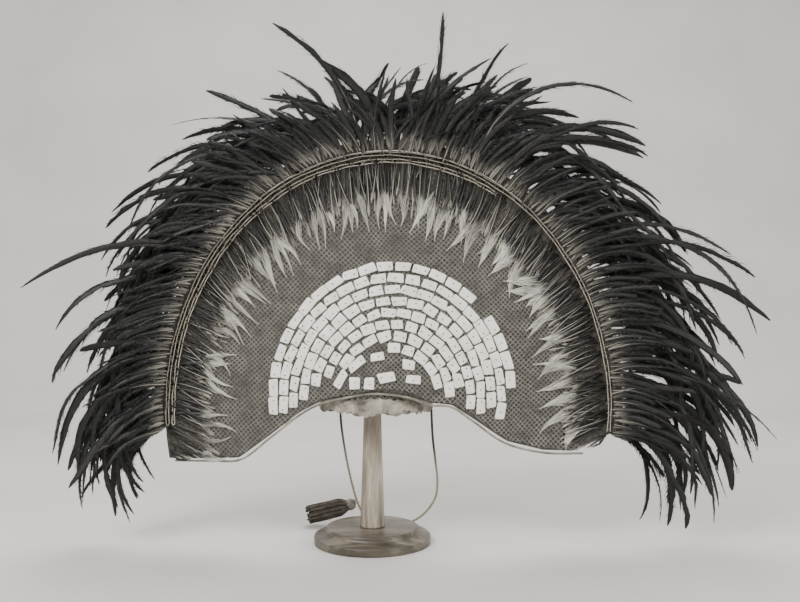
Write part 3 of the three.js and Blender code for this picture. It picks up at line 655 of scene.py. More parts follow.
# Net: two families of threads cross at 45 degrees a pitch apart. Each thread rises over one and
# dips under the next, and its lines are warped a little by slow sines. place(a, b, lift) puts
# sheet coordinates in space, and inside(a, b) says where there is net.
def netThreads(place, inside, low, high, pitch):
    middle = (np.array(low) + np.array(high)) / 2
    half = np.hypot(*(np.array(high) - np.array(low))) / 2
    lines = int(half * 2 / pitch)
    samples = int(half * 4 / pitch)
    across = (np.arange(lines) - lines / 2) * pitch
    along = (np.arange(samples) - samples / 2) * pitch / 2
    shapes = []
    for family in (1, -1):
        u, v = np.broadcast_arrays(across[:, None], along[None, :])
        a = middle[0] + (u + v) * 0.7071
        b = middle[1] + family * (v - u) * 0.7071
        warpA = net["warp"] * (np.sin(b / 17 + 1) + np.sin(a / 23 + b / 31))
        warpB = net["warp"] * (np.sin(a / 19) + np.sin(b / 27 - a / 41))
        parity = np.arange(lines)[:, None] + (np.arange(samples) // 2)[None, :]
        crossing = np.where(np.arange(samples)[None, :] % 2 == 0, 1 - 2 * (parity % 2), 0)
        lift = net["weave"] * family * crossing
        within = inside(a, b)
        middleLine = place(a + warpA, b + warpB, 0.6 + lift)
        outwards = unit(place(a + warpA, b + warpB, 2.0) - place(a + warpA, b + warpB, 0.0))
        tangent = unit(np.gradient(middleLine, axis=1))
        sideways = unit(np.cross(tangent, outwards))
        radius = net["threadRadius"] * within
        ring = circle(3, np.pi / 2)
        points = (middleLine[:, :, None] + sideways[:, :, None] * (radius[..., None, None] * ring[:, :1])
                  + outwards[:, :, None] * (radius[..., None, None] * ring[:, 1:]))
        quads = repeatFaces([gridFaces(samples, 3, True)], lines, samples * 3)[0]
        used = (within[:, 1:] & within[:, :-1])[:, :, None].repeat(3, 2).ravel()
        quads = quads[used]
        points = points.reshape(-1, 3)
        kept, inverse = np.unique(quads, return_inverse=True)
        run = along[None, :, None] / 10 + across[:, None, None]
        uv = np.stack(np.broadcast_arrays(np.arange(3)[None, None] / 3, run), -1).reshape(-1, 2)
        shapes.append({"points": points[kept], "faces": outward(points[kept], [inverse.reshape(-1, 4)]),
                       "values": {"UVMap": uv[kept]}})
    return joined(shapes)


addObject("netGround", panelShape(), ground, ["net_panel"])
frontNet = netThreads(onFace, lambda x, z: insidePanel(x, z, net["frontReach"], 2.5), (-330, 130), (380, 600),
                      net["pitch"])
addObject("netThreadsFront", frontNet, netThread)
backNet = netThreads(lambda x, z, lift: onFace(x, z, -fan["thickness"] - lift),
                     lambda x, z: insidePanel(x, z, 1.005, 3.0), (-330, 130), (380, 620), net["backPitch"])
addObject("netThreadsBack", backNet, netThread)
print("netting made")


edgeCord = {"radius": 2.1, "plies": 2, "lay": 9, "sides": 7, "points": 420, "below": 3.6, "behind": 0.5}


# Two-ply cord laid just outside the panel's lower edge: each point is moved square to the run
# between its neighbours.
def edgeCordPath():
    x, z = np.array(lowerEdge["x"], float), np.array(lowerEdge["z"], float)
    before = np.maximum(np.arange(len(x)) - 1, 0)
    after = np.minimum(np.arange(len(x)) + 1, len(x) - 1)
    run = unit(np.stack([x[after] - x[before], z[after] - z[before]], -1))
    place = onFace(x + run[:, 1] * edgeCord["below"], z - run[:, 0] * edgeCord["below"], -edgeCord["behind"])
    return throughPoints(place[:-1], edgeCord["points"])


edgeShape = pliedCord(edgeCordPath(), edgeCord["radius"], edgeCord["plies"], edgeCord["lay"],
                      edgeCord["sides"], (0, 1, 0))
addObject("edgeCord", edgeShape, edgeFibre, ["edge_cord"])


cap = {
    "centreX": 6, "centreY": 5.3, "halfWidth": 86, "halfDepth": 88, "rimZ": 218, "crownZ": 332,
    "wall": 2.5, "fullness": 2.3, "columns": 120, "rows": 40, "netPitch": 7.0,
}
lining = {"wall": 2, "edgeZ": 213, "ragged": 3, "columns": 168, "rows": 32}


# Dome: height follows the sine of the share, and the plan narrows as a superellipse of it.
def domePoint(angle, share, inset, rimZ):
    rise = np.sin(share * np.pi / 2)
    narrow = np.maximum(1 - rise ** cap["fullness"], 0) ** (1 / cap["fullness"])
    x = cap["centreX"] + (cap["halfWidth"] - inset) * narrow * np.cos(angle)
    y = cap["centreY"] + (cap["halfDepth"] - inset) * narrow * np.sin(angle)
    z = rimZ + (cap["crownZ"] - inset - rimZ) * rise
    return np.stack(np.broadcast_arrays(x, y, z), -1)


# Closed wall between an outer and an inner dome, with its rim turned under; both poles are one
# face each.
def domeShape(columns, rows, insetAt, rimAt, wall):
    angle = np.linspace(0, 2 * np.pi, columns, endpoint=False)[None, :]
    share = np.linspace(0, 0.985, rows)[:, None]
    outer = domePoint(angle, share, insetAt(angle, share), rimAt(angle))
    inner = domePoint(angle, share, insetAt(angle, share) + wall, rimAt(angle))
    points = np.concatenate([outer[::-1], inner]).reshape(-1, 3)
    return {"points": points, "faces": outward(points, tubeFaces(2 * rows, columns))}


capShape = domeShape(cap["columns"], cap["rows"], lambda a, s: 0 * a * s, lambda a: cap["rimZ"], cap["wall"])
addObject("capGround", capShape, ground, ["cap"])


# Sheet coordinates round and up the cap, in millimetres, to a place on it.
def onCap(around, up, lift):
    angle = around / cap["halfWidth"]
    return domePoint(angle, np.clip(up / 150, 0, 0.97), -lift, cap["rimZ"])


capRound = 2 * np.pi * cap["halfWidth"]
capNet = netThreads(onCap, lambda a, b: (a > 0) & (a < capRound) & (b > 1.5) & (b < 138), (0, 0),
                    (capRound, 140), cap["netPitch"])
addObject("capThreads", capNet, netThread)


# Creases: slow folds round the rim and small crumples over them, deeper towards the edge.
def liningInset(angle, share):
    fade = 1 - share
    folds = (0.9 * (1 + np.sin(9 * angle))
             + 0.7 * np.sin(23 * angle + 5 * share) * np.sin(14 * share + 2 * angle))
    crumples = 0.5 * np.sin(41 * angle + 9 * np.sin(6 * share)) * np.sin(31 * share + 3)
    return cap["wall"] + 1.6 + fade * (folds + 0.7) + crumples * (0.4 + 0.6 * fade)


def liningEdge(angle):
    tears = 1.2 * np.sin(17 * angle) + 0.8 * np.sin(31 * angle + 2) + 0.5 * np.sin(67 * angle)
    return lining["edgeZ"] + lining["ragged"] * np.sin(5 * angle + 1) * np.cos(3 * angle) + tears


hem = {"columns": 300, "rows": 13, "low": 213, "high": 236, "wall": 1.1, "standOff": 1.2}


# Torn hem of the lining, turned up over the cap's rim: a closed wall round the rim. It stands off
# by creases, each the absolute value of a sine that runs round and up, and both edges are torn.
def hemShape():
    columns, rows = hem["columns"], hem["rows"]
    angle = np.linspace(0, 2 * np.pi, columns, endpoint=False)[None, :]
    share = np.linspace(0, 1, rows)[:, None]
    low = (hem["low"] + 2.5 * np.sin(5 * angle + 0.6) + 1.8 * np.sin(13 * angle + 2)
           + 1.6 * np.abs(np.sin(29 * angle)) + 1.2 * np.sin(53 * angle + 1))
    high = hem["high"] + 1.6 * np.sin(7 * angle) + 1.0 * np.sin(37 * angle)
    z = low + (high - low) * share
    creases = (1.9 * np.abs(np.sin(8 * angle + 3.1 * share + 0.6 * np.sin(5 * angle)))
               + 1.3 * np.abs(np.sin(19 * angle - 4.2 * share + 1.2 * np.sin(3 * angle)))
               + 0.9 * np.abs(np.sin(43 * angle + 5 * np.sin(4 * share + 2 * angle)))
               + 0.8 * np.abs(np.sin(9 * share + 6 * np.sin(4 * angle))))
    off = hem["standOff"] + creases * (0.35 + 0.65 * np.sin(np.pi * np.clip(share * 0.9 + 0.1, 0, 1)))

    def ringAt(offset):
        x = cap["centreX"] + (cap["halfWidth"] + offset) * np.cos(angle)
        y = cap["centreY"] + (cap["halfDepth"] + offset) * np.sin(angle)
        narrow = 1 - 0.012 * np.clip(z - cap["rimZ"], 0, 30) / 10
        return np.stack(np.broadcast_arrays(cap["centreX"] + (x - cap["centreX"]) * narrow,
                                            cap["centreY"] + (y - cap["centreY"]) * narrow, z), -1)

    outer, inner = ringAt(off), ringAt(off - hem["wall"])
    points = np.concatenate([outer[::-1], inner]).reshape(-1, 3)
    rings = 2 * rows
    quads = gridFaces(rings, columns, True)
    close = np.stack([np.arange(columns), (np.arange(columns) + 1) % columns], -1)
    last = (rings - 1) * columns
    closing = np.stack([close[:, 0] + last, close[:, 1] + last, close[:, 1], close[:, 0]], -1)
    faces = [np.concatenate([quads, closing])]
    return {"points": points, "faces": outward(points, faces)}


addObject("liningHem", hemShape(), cloth)
liningShape = domeShape(lining["columns"], lining["rows"], liningInset, liningEdge, lining["wall"])
addObject("capLining", liningShape, cloth, ["cap_lining"])
print("cap and lining made")


plates = {
    "width": 14.6, "thickness": 2, "sink": 0.2, "hover": 1.1, "endGap": 0.2, "centreX": 32.6, "centreZ": 235,
    "rowHalfWidth": 183, "rowHeight": 203, "stepX": 16, "stepZ": 17.8, "corner": 0.2, "seed": 11,
    "holeRadius": 1.2,
}
plateRows = [
    {"row": 1, "from": 187, "to": 47, "count": 17, "loose": True},
    {"row": 1, "from": 38, "to": 4, "count": 4, "loose": True},
    {"row": 2, "from": 187, "to": -10, "count": 23, "loose": False},
    {"row": 3, "from": 185, "to": -5, "count": 21, "loose": False},
    {"row": 4, "from": 181, "to": -9, "count": 19, "loose": False},
    {"row": 5, "from": 172, "to": -7, "count": 17, "loose": False},
    {"row": 6, "from": 164, "to": 9, "count": 13, "loose": False},
    {"row": 7, "from": 150, "to": 2, "count": 10, "loose": False},
    {"row": 8, "from": 97, "to": 12, "count": 5, "loose": True},
]
browPlates = {
    "x": [-45, -21, 10, -24, -2, 24, 64, 57],
    "z": [266, 289, 300, 260, 260, 269, 266, 288],
    "tilt": [58, 50, 17, -2, 2, 8, -8, -15],
    "length": [28, 28, 22, 18, 16.5, 25, 24, 18.5],
    "width": [13, 13, 12, 17, 17, 16, 13.5, 14],
}


# Plates of one row: equal lengths of the row's ellipse, each lying along it.
def rowPlates(row):
    halfWidth = plates["rowHalfWidth"] - plates["stepX"] * (row["row"] - 1)
    height = plates["rowHeight"] - plates["stepZ"] * (row["row"] - 1)
    turn = np.radians(np.linspace(row["from"], row["to"], 800))
    x = plates["centreX"] + halfWidth * np.cos(turn)
    z = plates["centreZ"] + height * np.sin(turn)
    along = np.concatenate([[0], np.cumsum(np.hypot(np.diff(x), np.diff(z)))])
    pitch = along[-1] / row["count"]
    at = (np.arange(row["count"]) + 0.5) * pitch
    tilt = np.degrees(np.arctan2(np.gradient(z, along), np.gradient(x, along)))
    length = pitch * (1 - plates["width"] / 2 / halfWidth) - plates["endGap"]
    lift = plates["hover"] if row["loose"] else plates["sink"]
    columns = [np.interp(at, along, x), np.interp(at, along, z),
               np.interp(at, along, np.unwrap(tilt, period=360)),
               np.full(len(at), length), np.full(len(at), plates["width"]), np.full(len(at), lift)]
    return np.stack(columns, -1)


# Every plate: a rounded four-sided outline (superellipse with its corners pushed about) stacked
# at eight heights for its rim, its bevel and its slightly crowned top. Threads come through it.
def plateShapes():
    rng = np.random.default_rng(plates["seed"])
    brow = np.stack([np.array(browPlates[key], float) for key in ("x", "z", "tilt", "length", "width")]
                    + [np.full(8, plates["hover"])], -1)
    table = np.concatenate([rowPlates(row) for row in plateRows] + [brow])
    x, z, tilt, length, width, lift = (column[:, None] for column in table.T)
    count = len(table)
    tilt = np.radians(tilt + rng.normal(0, 4.5, (count, 1)))
    length = length * rng.uniform(0.86, 1.08, (count, 1))
    width = width * rng.uniform(0.86, 1.08, (count, 1))
    lift = lift + rng.uniform(0, 1.2, (count, 1))
    turn = 2 * np.pi * (np.arange(20) + 0.5) / 20
    u = np.sign(np.cos(turn)) * np.abs(np.cos(turn)) ** plates["corner"]
    v = np.sign(np.sin(turn)) * np.abs(np.sin(turn)) ** plates["corner"]
    taper = rng.normal(0, 0.05, (count, 1))
    skew = rng.normal(0, 0.05, (count, 1))
    bow = rng.uniform(0, 0.05, (count, 1))
    flatU = length / 2 * (u[None] * (1 + taper * v[None]) + skew * v[None])
    flatV = width / 2 * (v[None] * (1 - taper * u[None] * 0.8) + bow * (1 - u[None] ** 2) * 2)
    rings = [(0.12, 0.0), (0.985, 0.0), (1.0, 0.25), (1.0, 1.5), (0.985, 1.8), (0.94, 2.0), (0.55, 2.12),
             (0.12, 2.16)]
    scale = np.array([ring[0] for ring in rings])
    height = np.array([ring[1] for ring in rings]) * plates["thickness"] / 2
    localU = flatU[:, None, :] * scale[None, :, None]
    localV = flatV[:, None, :] * scale[None, :, None]

    def frameAt(px, pz, angle):
        along = unit(onFace(px + 4 * np.cos(angle), pz + 4 * np.sin(angle))
                     - onFace(px - 4 * np.cos(angle), pz - 4 * np.sin(angle)))
        up = (onFace(px - 4 * np.sin(angle), pz + 4 * np.cos(angle))
              - onFace(px + 4 * np.sin(angle), pz - 4 * np.cos(angle)))
        out = unit(np.cross(along, unit(up)))
        return along, np.cross(out, along), out

    along, up, out = frameAt(x, z, tilt)
    lean = rng.normal(0, 0.012, (count, 1, 1, 2))
    rise = height[None, :, None] + localU * lean[..., 0] + localV * lean[..., 1]
    points = (onFace(x, z)[:, None] + along[:, None] * localU[..., None] + up[:, None] * localV[..., None]
              + out[:, None] * (rise + lift[:, None])[..., None])
    faces = repeatFaces(tubeFaces(len(rings), 20), count, len(rings) * 20)
    flat = points.reshape(-1, 3)
    uv = np.stack([localU + 40 * rng.random((count, 1, 1)), localV + 0 * localU], -1).reshape(-1, 2) / 10
    body = {"points": flat, "faces": outward(flat, faces), "values": {"UVMap": uv}}
    twoHoles = rng.random(count) < 0.35
    holeU = np.where(twoHoles, -0.3, rng.normal(0, 0.07, count))[:, None] * length
    holeV = rng.normal(0, 0.07, (count, 1)) * width
    allU = np.concatenate([holeU, -holeU[twoHoles]])
    allV = np.concatenate([holeV, holeV[twoHoles] * -1])
    pick = np.concatenate([np.arange(count), np.nonzero(twoHoles)[0]])
    knotRings = np.array([(1.0, 0.85), (1.0, 1.08), (0.55, 1.12)])
    ring = circle(8)
    ku = allU[:, None] + knotRings[None, :, :1] * plates["holeRadius"] * ring[None, None, :, 0]
    kv = allV[:, None] + knotRings[None, :, :1] * plates["holeRadius"] * ring[None, None, :, 1]
    ku, kv = np.squeeze(ku), np.squeeze(kv)
    kh = knotRings[None, :, 1:] * plates["thickness"] + ku * lean[pick][:, 0, 0, 0][:, None, None]
    kh = kh + kv * lean[pick][:, 0, 0, 1][:, None, None]
    middle = (onFace(x, z)[pick][:, None] + along[pick][:, None] * ku[..., None]
              + up[pick][:, None] * kv[..., None])
    knots = (middle + out[pick][:, None] * (kh + lift[pick][:, None])[..., None]).reshape(-1, 3)
    knotFaces = outward(knots, repeatFaces(tubeFaces(3, 8), len(pick), 24))
    return body, {"points": knots, "faces": knotFaces, "values": {"UVMap": knots[:, [0, 2]] / 10}}


plateShape, knotShape = plateShapes()
addObject("shellPlates", plateShape, shell, [f"shell_plate_{i:02d}" for i in range(1, 35)])
addObject("plateThreads", knotShape, darkThread)
print("shell plates made")


# Reading of a table given at even steps of 0 to 1 along each feather, at any share; past the end
# it goes straight on. Rows are feathers.
def alongFeather(table, share):
    steps = table.shape[1] - 1
    place = share * steps
    low = np.clip(np.floor(place), 0, steps - 1).astype(int)
    rest = (place - low)[..., None]
    rows = np.arange(len(table)).reshape((-1,) + (1,) * (share.ndim - 1))
    return table[rows, low] * (1 - rest) + table[rows, low + 1] * rest


# Place of a vane's points: the shaft's place at a share, plus sideways by a reach and towards the
# face by a rise. Points further out lie further forward, because barbs lean towards the tip.
def vanePlace(feather, share, reach, rise, lean):
    forward = share + lean * np.abs(reach) / feather["length"].reshape((-1,) + (1,) * (share.ndim - 1))
    place = alongFeather(feather["path"], forward)
    place = place + alongFeather(feather["sideways"], forward) * reach[..., None]
    return place + alongFeather(feather["face"], forward) * rise[..., None]


# Vane: rings of eight corners down the feather. Each ring runs from the left edge over the shaft
# to the right edge and back beneath; edges are ragged, and the halves fall from the shaft by the
# square of the reach.
def vaneShape(feather, spec, rng):
    count, rings = len(feather["path"]), spec["rings"]
    share = np.broadcast_to(np.linspace(spec["bare"], 0.985, rings)[None], (count, rings))
    vaneShare = (share - spec["bare"]) / (1 - spec["bare"])
    opening = spec["outline"](vaneShare, feather["point"][:, None])
    width = feather["halfWidth"][:, None] * np.maximum(opening, 0.04)
    ragged = 1 + spec["ragged"] * rng.normal(0, 1, (2, count, rings))
    split = np.where(rng.random((2, count, rings)) < spec["splits"], 0.45, 1.0)
    edges = width * np.clip(ragged, 0.6, 1.3) * split * feather["ribbon"][:, None]
    across = np.array([-1.0, -0.52, 0.0, 0.52, 1.0, 0.5, 0.0, -0.5])
    hand = (across > 0).astype(int)
    reach = np.moveaxis(edges[hand], 0, -1) * across
    thin = np.array([0.0, 0.0, 0.0, 0.0, 0.0, 0.28, 0.5, 0.28])
    cup = feather["cup"][:, None, None] * np.abs(reach) ** 2 / feather["halfWidth"][:, None, None]
    rise = spec["ridge"] * (1 - np.abs(across)) - thin - cup
    spread = np.broadcast_to(share[..., None], reach.shape)
    flat = vanePlace(feather, spread, reach, rise, spec["lean"]).reshape(-1, 3)
    uv = np.stack([np.abs(reach), spread * feather["length"][:, None, None]], -1) / 10
    uv = uv + feather["seed"][:, None, None, None] * 50
    tone = np.broadcast_to(feather["tone"][:, None, None], reach.shape)
    pale = np.broadcast_to(feather["pale"](spread), reach.shape)
    return {"points": flat, "faces": outward(flat, repeatFaces(tubeFaces(rings, 8), count, rings * 8)),
            "values": {"UVMap": uv.reshape(-1, 2), "tone": tone.ravel(), "pale": pale.ravel()}}


# Barbs: each is a thin spike of four faces that starts on the shaft or the inner vane and points
# far forward to the vane's edge, so that together they lie like combed hair.
def barbShape(feather, spec, rng):
    count, barbs = len(feather["path"]), spec["barbs"]
    shapes = []
    for hand in (-1, 1):
        start = (np.arange(barbs) + rng.random((count, barbs))) / barbs
        opening = spec["outline"](start, feather["point"][:, None])
        width = feather["halfWidth"][:, None] * np.maximum(opening, 0.05)
        share = spec["bare"] + (0.985 - spec["bare"]) * start
        foot = spec["barbFoot"] * rng.uniform(0.6, 1.3, (count, barbs)) / 2 / feather["length"][:, None]
        near = rng.uniform(0.0, 0.55, (count, barbs)) * width
        far = rng.uniform(*spec["barbPast"], (count, barbs)) * width
        lift = rng.normal(0, 0.14, (count, barbs)) * width
        lift = lift - feather["cup"][:, None] * far ** 2 / feather["halfWidth"][:, None]
        bend = rng.normal(0, spec["barbBend"], (count, barbs))
        shares = np.stack([share - foot, share + foot, share, share + bend], -1)
        reach = np.stack([near, near, near, far], -1) * hand
        rise = np.stack([0 * lift, 0 * lift, 0 * lift + 0.55, lift], -1) + 0.15
        flat = vanePlace(feather, shares, reach, rise, spec["lean"]).reshape(-1, 3)
        uv = np.stack([np.abs(reach), shares * feather["length"][:, None, None]], -1) / 10
        # Each barb's tone shifts at random, which lifts some barbs into the painted highlight of the
        # feather's ramp.
        tone = feather["tone"][:, None] + rng.normal(0, spec["barbTone"], (count, barbs))
        faces = repeatFaces([np.array([[0, 1, 2], [0, 3, 1], [1, 3, 2], [2, 3, 0]])], count * barbs, 4)
        shapes.append({"points": flat, "faces": outward(flat, faces),
                       "values": {"UVMap": uv.reshape(-1, 2), "tone": np.repeat(tone.ravel(), 4),
                                  "pale": feather["pale"](shares).ravel()}})
    return joined(shapes)


# Shaft: a three-sided quill that thins towards the tip; its foot is pale.
def shaftShape(feather, spec):
    count, rings = len(feather["path"]), spec["shaftRings"]
    share = np.broadcast_to(np.linspace(0, 0.97, rings)[None], (count, rings))
    radius = spec["shaftRadius"] * (1 - 0.82 * share) * feather["stout"][:, None]
    ring = circle(3, np.pi / 2)
    across = radius[..., None] * ring[:, 0]
    rise = radius[..., None] * (ring[:, 1] + 0.4) + spec["ridge"] * 0.6
    middle = np.broadcast_to(share[..., None], across.shape)
    flat = vanePlace(feather, middle, across, rise, 0.0).reshape(-1, 3)
    uv = np.stack([across, middle * feather["length"][:, None, None]], -1).reshape(-1, 2) / 10
    pale = np.clip(feather["shaftPale"][:, None, None] - middle * spec["shaftFade"], 0, 1).ravel()
    return {"points": flat, "faces": outward(flat, repeatFaces(tubeFaces(rings, 3), count, rings * 3)),
            "values": {"UVMap": uv, "tone": np.full(len(flat), 0.05), "pale": pale}}


def featherShape(feather, spec, rng):
    return joined([vaneShape(feather, spec, rng), barbShape(feather, spec, rng), shaftShape(feather, spec)])


# Sideways and facing directions of feathers along their paths: across the given flat direction,
# then rolled about the shaft by an angle at each point.
def featherFrames(path, flat, roll):
    tangent = unit(np.gradient(path, axis=1))
    sideways = unit(flat - tangent * (flat * tangent).sum(-1, keepdims=True))
    face = np.cross(sideways, tangent)
    face = face * np.where(face[..., 1:2] > 0, -1, 1)
    cos, sin = np.cos(roll)[..., None], np.sin(roll)[..., None]
    return sideways * cos + face * sin, face * cos - sideways * sin


plumeFlow = {
    "root": [184, 170, 155, 140, 128, 118, 104, 95, 84, 75, 66, 52, 38, 24, 10, -5],
    "heading": [190, 177, 169, 158, 149, 138, 112, 99, 85, 78, 66, 54, 42, 30, 20, 0],
    "turn": [92, 108, 112, 112, 118, 118, 62, 30, 6, -30, -118, -128, -116, -112, -106, -92],
    "length": [215, 276, 242, 240, 275, 290, 200, 180, 175, 215, 262, 262, 275, 292, 315, 255],
}
strayFeathers = {
    "sector": [2, 3, 4, 5, 6, 7, 8],
    "root": [143, 117, 97, 80, 68, 37, 9],
    "heading": [153, 132, 84, 80, 82, 34, 9],
    "turn": [66, 124, 66, 8, -118, -108, -62],
    "length": [286, 302, 230, 198, 300, 350, 264],
}
sectorBounds = [184.5, 161, 138, 115, 92, 69, 45, 20, -6]


# Share of a vane's full width along it: it opens within a quarter of the length and closes with
# the given power of the share.
def plumeOutline(share, power):
    return smoothstep(share, -0.12, 0.25) * (1 - 0.96 * np.clip(share, 0, 1) ** power)


# A cover feather is already broad where it leaves the lashings.
def coverOutline(share, power):
    return smoothstep(share, -0.5, 0.3) * (1 - 0.96 * np.clip(share, 0, 1) ** power)


plume = {
    "perSector": 60, "samples": 48, "rings": 14, "bare": 0.04, "lean": 2.7, "ragged": 0.09, "splits": 0.06,
    "ridge": 0.5, "barbs": 40, "barbFoot": 3.4, "barbPast": (0.75, 1.35), "barbBend": 0.012, "barbTone": 0.10,
    "shaftRings": 10, "shaftRadius": 0.95, "shaftFade": 2.6, "outline": plumeOutline, "seed": 21,
    "halfWidth": (4.8, 10.0), "reach": 1.034, "lowest": 36, "layerY": -20, "layerStep": 6.4, "splay": -0.16,
    "splayStep": 0.07, "sideSpread": (6, 15), "topSpread": (11, 20),
}
cover = dict(plume, perSector=30, rings=9, bare=0.0, barbs=20, outline=coverOutline, halfWidth=(5.0, 8.5),
             reach=1.008, layer=-1.35, length=(60, 130), shaftRings=5, shaftRadius=0.7)


# Depth of a plume layer: the face's own, plus a step for each layer, plus a splay that grows with
# the distance beyond the ring.
def layerDepth(x, z, layer):
    beyond = np.maximum(0, fanReach(x, z) - 1.036) * fan["halfWidth"]
    splay = plume["splay"] + plume["splayStep"] * layer
    return onFace(x, z)[..., 1] + plume["layerY"] + plume["layerStep"] * layer + splay * beyond


# A plume sets off at its heading and turns with a power of its share of the length, with a sway;
# its path is the running sum of its steps.
def plumeFeathers(table, paleness, rng):
    root, heading, turn, length, layer, halfWidth, reach = (table[key] for key in (
        "root", "heading", "turn", "length", "layer", "halfWidth", "reach"))
    count, samples = len(root), plume["samples"]
    share = np.linspace(0, 1, samples)[None]
    phase, pace = rng.random((count, 1)), rng.uniform(0.9, 2.2, (count, 1))
    sway = rng.normal(0, 7.0, (count, 1)) * np.sin(2 * np.pi * (share * pace + phase))
    bent = share ** rng.uniform(0.58, 0.95, (count, 1))
    angle = np.radians(heading[:, None] + turn[:, None] * bent + sway * share)
    step = length[:, None] / (samples - 1)
    startX, startZ = fanPoint(root, reach)
    x = startX[:, None] + (np.cumsum(np.cos(angle), 1) - np.cos(angle[:, :1])) * step
    z = startZ[:, None] + (np.cumsum(np.sin(angle), 1) - np.sin(angle[:, :1])) * step
    drop = startZ - z.min(1)  # tips that would reach the table are drawn in
    keep = np.minimum(1, (startZ - plume["lowest"]) / np.maximum(drop, 1))[:, None]
    x = startX[:, None] + (x - startX[:, None]) * keep
    z = startZ[:, None] + (z - startZ[:, None]) * keep
    y = layerDepth(x, z, layer[:, None]) + rng.normal(0, 2.5, (count, 1)) * share
    path = np.stack([x, y, z], -1)
    flat = np.stack([-np.sin(angle), 0 * angle, np.cos(angle)], -1)
    roll = np.radians(rng.normal(0, 18, (count, 1)) + rng.normal(0, 34, (count, 1)) * share)
    sideways, face = featherFrames(path, flat, roll)
    whiteness = paleness * rng.random(count)

    def pale(at):
        return whiteness.reshape((-1,) + (1,) * (at.ndim - 1)) * np.clip(1 - (at - 0.04) / 0.16, 0, 1)

    return {"path": path, "sideways": sideways, "face": face, "length": length, "halfWidth": halfWidth,
            "point": rng.uniform(3.0, 10.0, count), "cup": rng.uniform(0.0, 0.45, count),
            "ribbon": rng.uniform(0.42, 0.8, count), "tone": rng.normal(0, 0.06, count),
            "seed": rng.random(count),
            "pale": pale, "stout": np.sqrt(halfWidth / 8), "shaftPale": rng.uniform(0.2, 1.2, count)}


# Feathers of one sector: their roots are spread evenly with some chance, and each takes the flow
# at its root. Those at the top of the fan scatter most.
def plumeSector(number):
    rng = np.random.default_rng(plume["seed"] + number)
    low, high = sectorBounds[number], sectorBounds[number - 1]

    def flowAt(count):
        root = low + (high - low) * (np.arange(count) + rng.uniform(0.1, 0.9, count)) / count
        heading, turn, length = (np.interp(root, plumeFlow["root"][::-1], plumeFlow[key][::-1])
                                 for key in ("heading", "turn", "length"))
        top = np.exp(-((root - 92) / 24) ** 2)
        spreads = [side + (peak - side) * top for side, peak in zip(plume["sideSpread"], plume["topSpread"])]
        curl = np.where(rng.random(count) < smoothstep(root, 78, 110), 1, -1) * rng.uniform(60, 150, count)
        turn = turn * (1 - top) + curl * top
        return root, heading + rng.normal(0, spreads[0]), turn + rng.normal(0, spreads[1]), length

    count = plume["perSector"]
    root, heading, turn, length = flowAt(count)
    short = rng.random(count) < 0.28
    table = {
        "root": root, "heading": heading, "turn": turn * np.where(short, 0.6, 1.0),
        "length": length * np.where(short, rng.uniform(0.35, 0.65, count), rng.uniform(0.7, 1.02, count)),
        "layer": rng.uniform(-0.6, 5.4, count), "halfWidth": rng.uniform(*plume["halfWidth"], count),
        "reach": np.full(count, plume["reach"]),
    }
    strays = [i for i, sector in enumerate(strayFeathers["sector"]) if sector == number]
    for key in ("root", "heading", "turn", "length"):
        table[key] = np.concatenate([table[key], [strayFeathers[key][i] for i in strays]])
    for key, value in (("layer", -1.0), ("halfWidth", 7.5), ("reach", plume["reach"])):
        table[key] = np.concatenate([table[key], np.full(len(strays), value)])
    long = featherShape(plumeFeathers(table, 0.4, rng), plume, rng)
    count = cover["perSector"]
    root, heading, turn, length = flowAt(count)
    table = {
        "root": root, "heading": heading, "turn": turn * 0.4, "length": rng.uniform(*cover["length"], count),
        "layer": np.full(count, cover["layer"]), "halfWidth": rng.uniform(*cover["halfWidth"], count),
        "reach": cover["reach"] + rng.normal(0, 0.006, count),
    }
    return joined([long, featherShape(plumeFeathers(table, 0.5, rng), cover, rng)])


for sector in range(1, 9):
    addObject(f"plumeFeathers_{sector}", plumeSector(sector), blackFeather,
              [f"long_plumes_{sector}"])
print("long plumes made")


def shortOutline(share, power):
    return smoothstep(share, -0.35, 0.2) * (1 - 0.7 * np.clip(share, 0, 1) ** power)


shortRing = {
    "count": 410, "samples": 10, "rings": 6, "bare": 0.0, "lean": 3.2, "ragged": 0.12, "splits": 0.08,
    "ridge": 0.35, "barbs": 11, "barbFoot": 2.4, "barbPast": (0.7, 1.4), "barbBend": 0.02, "barbTone": 0.14,
    "shaftRings": 4, "shaftRadius": 0.55, "shaftFade": 0.5, "outline": shortOutline, "inner": 0.80,
    "outer": 1.012, "lift": (1.2, 5.2), "halfWidth": (2.6, 4.8), "seed": 5,
}


# Short feathers lie on the face along the panel's columns, from inner to outer reach, and bow a
# little to one side.
def facePaths(angle, skew, inner, outer, lowLift, highLift, bow, samples):
    startX, startZ = columnPoint(angle, inner)
    endX, endZ = columnPoint(angle + skew, outer)
    share = np.linspace(0, 1, samples)[None]
    dx, dz = (endX - startX)[:, None], (endZ - startZ)[:, None]
    arch = bow[:, None] * np.sin(np.pi * share)
    run = np.hypot(dx, dz)
    x = startX[:, None] + dx * share - dz / run * arch
    z = startZ[:, None] + dz * share + dx / run * arch
    path = onFace(x, z, lowLift[:, None] + (highLift - lowLift)[:, None] * share)
    flat = np.stack(np.broadcast_arrays(-dz / run, 0 * share, dx / run), -1)
    return path, flat, run[:, 0]


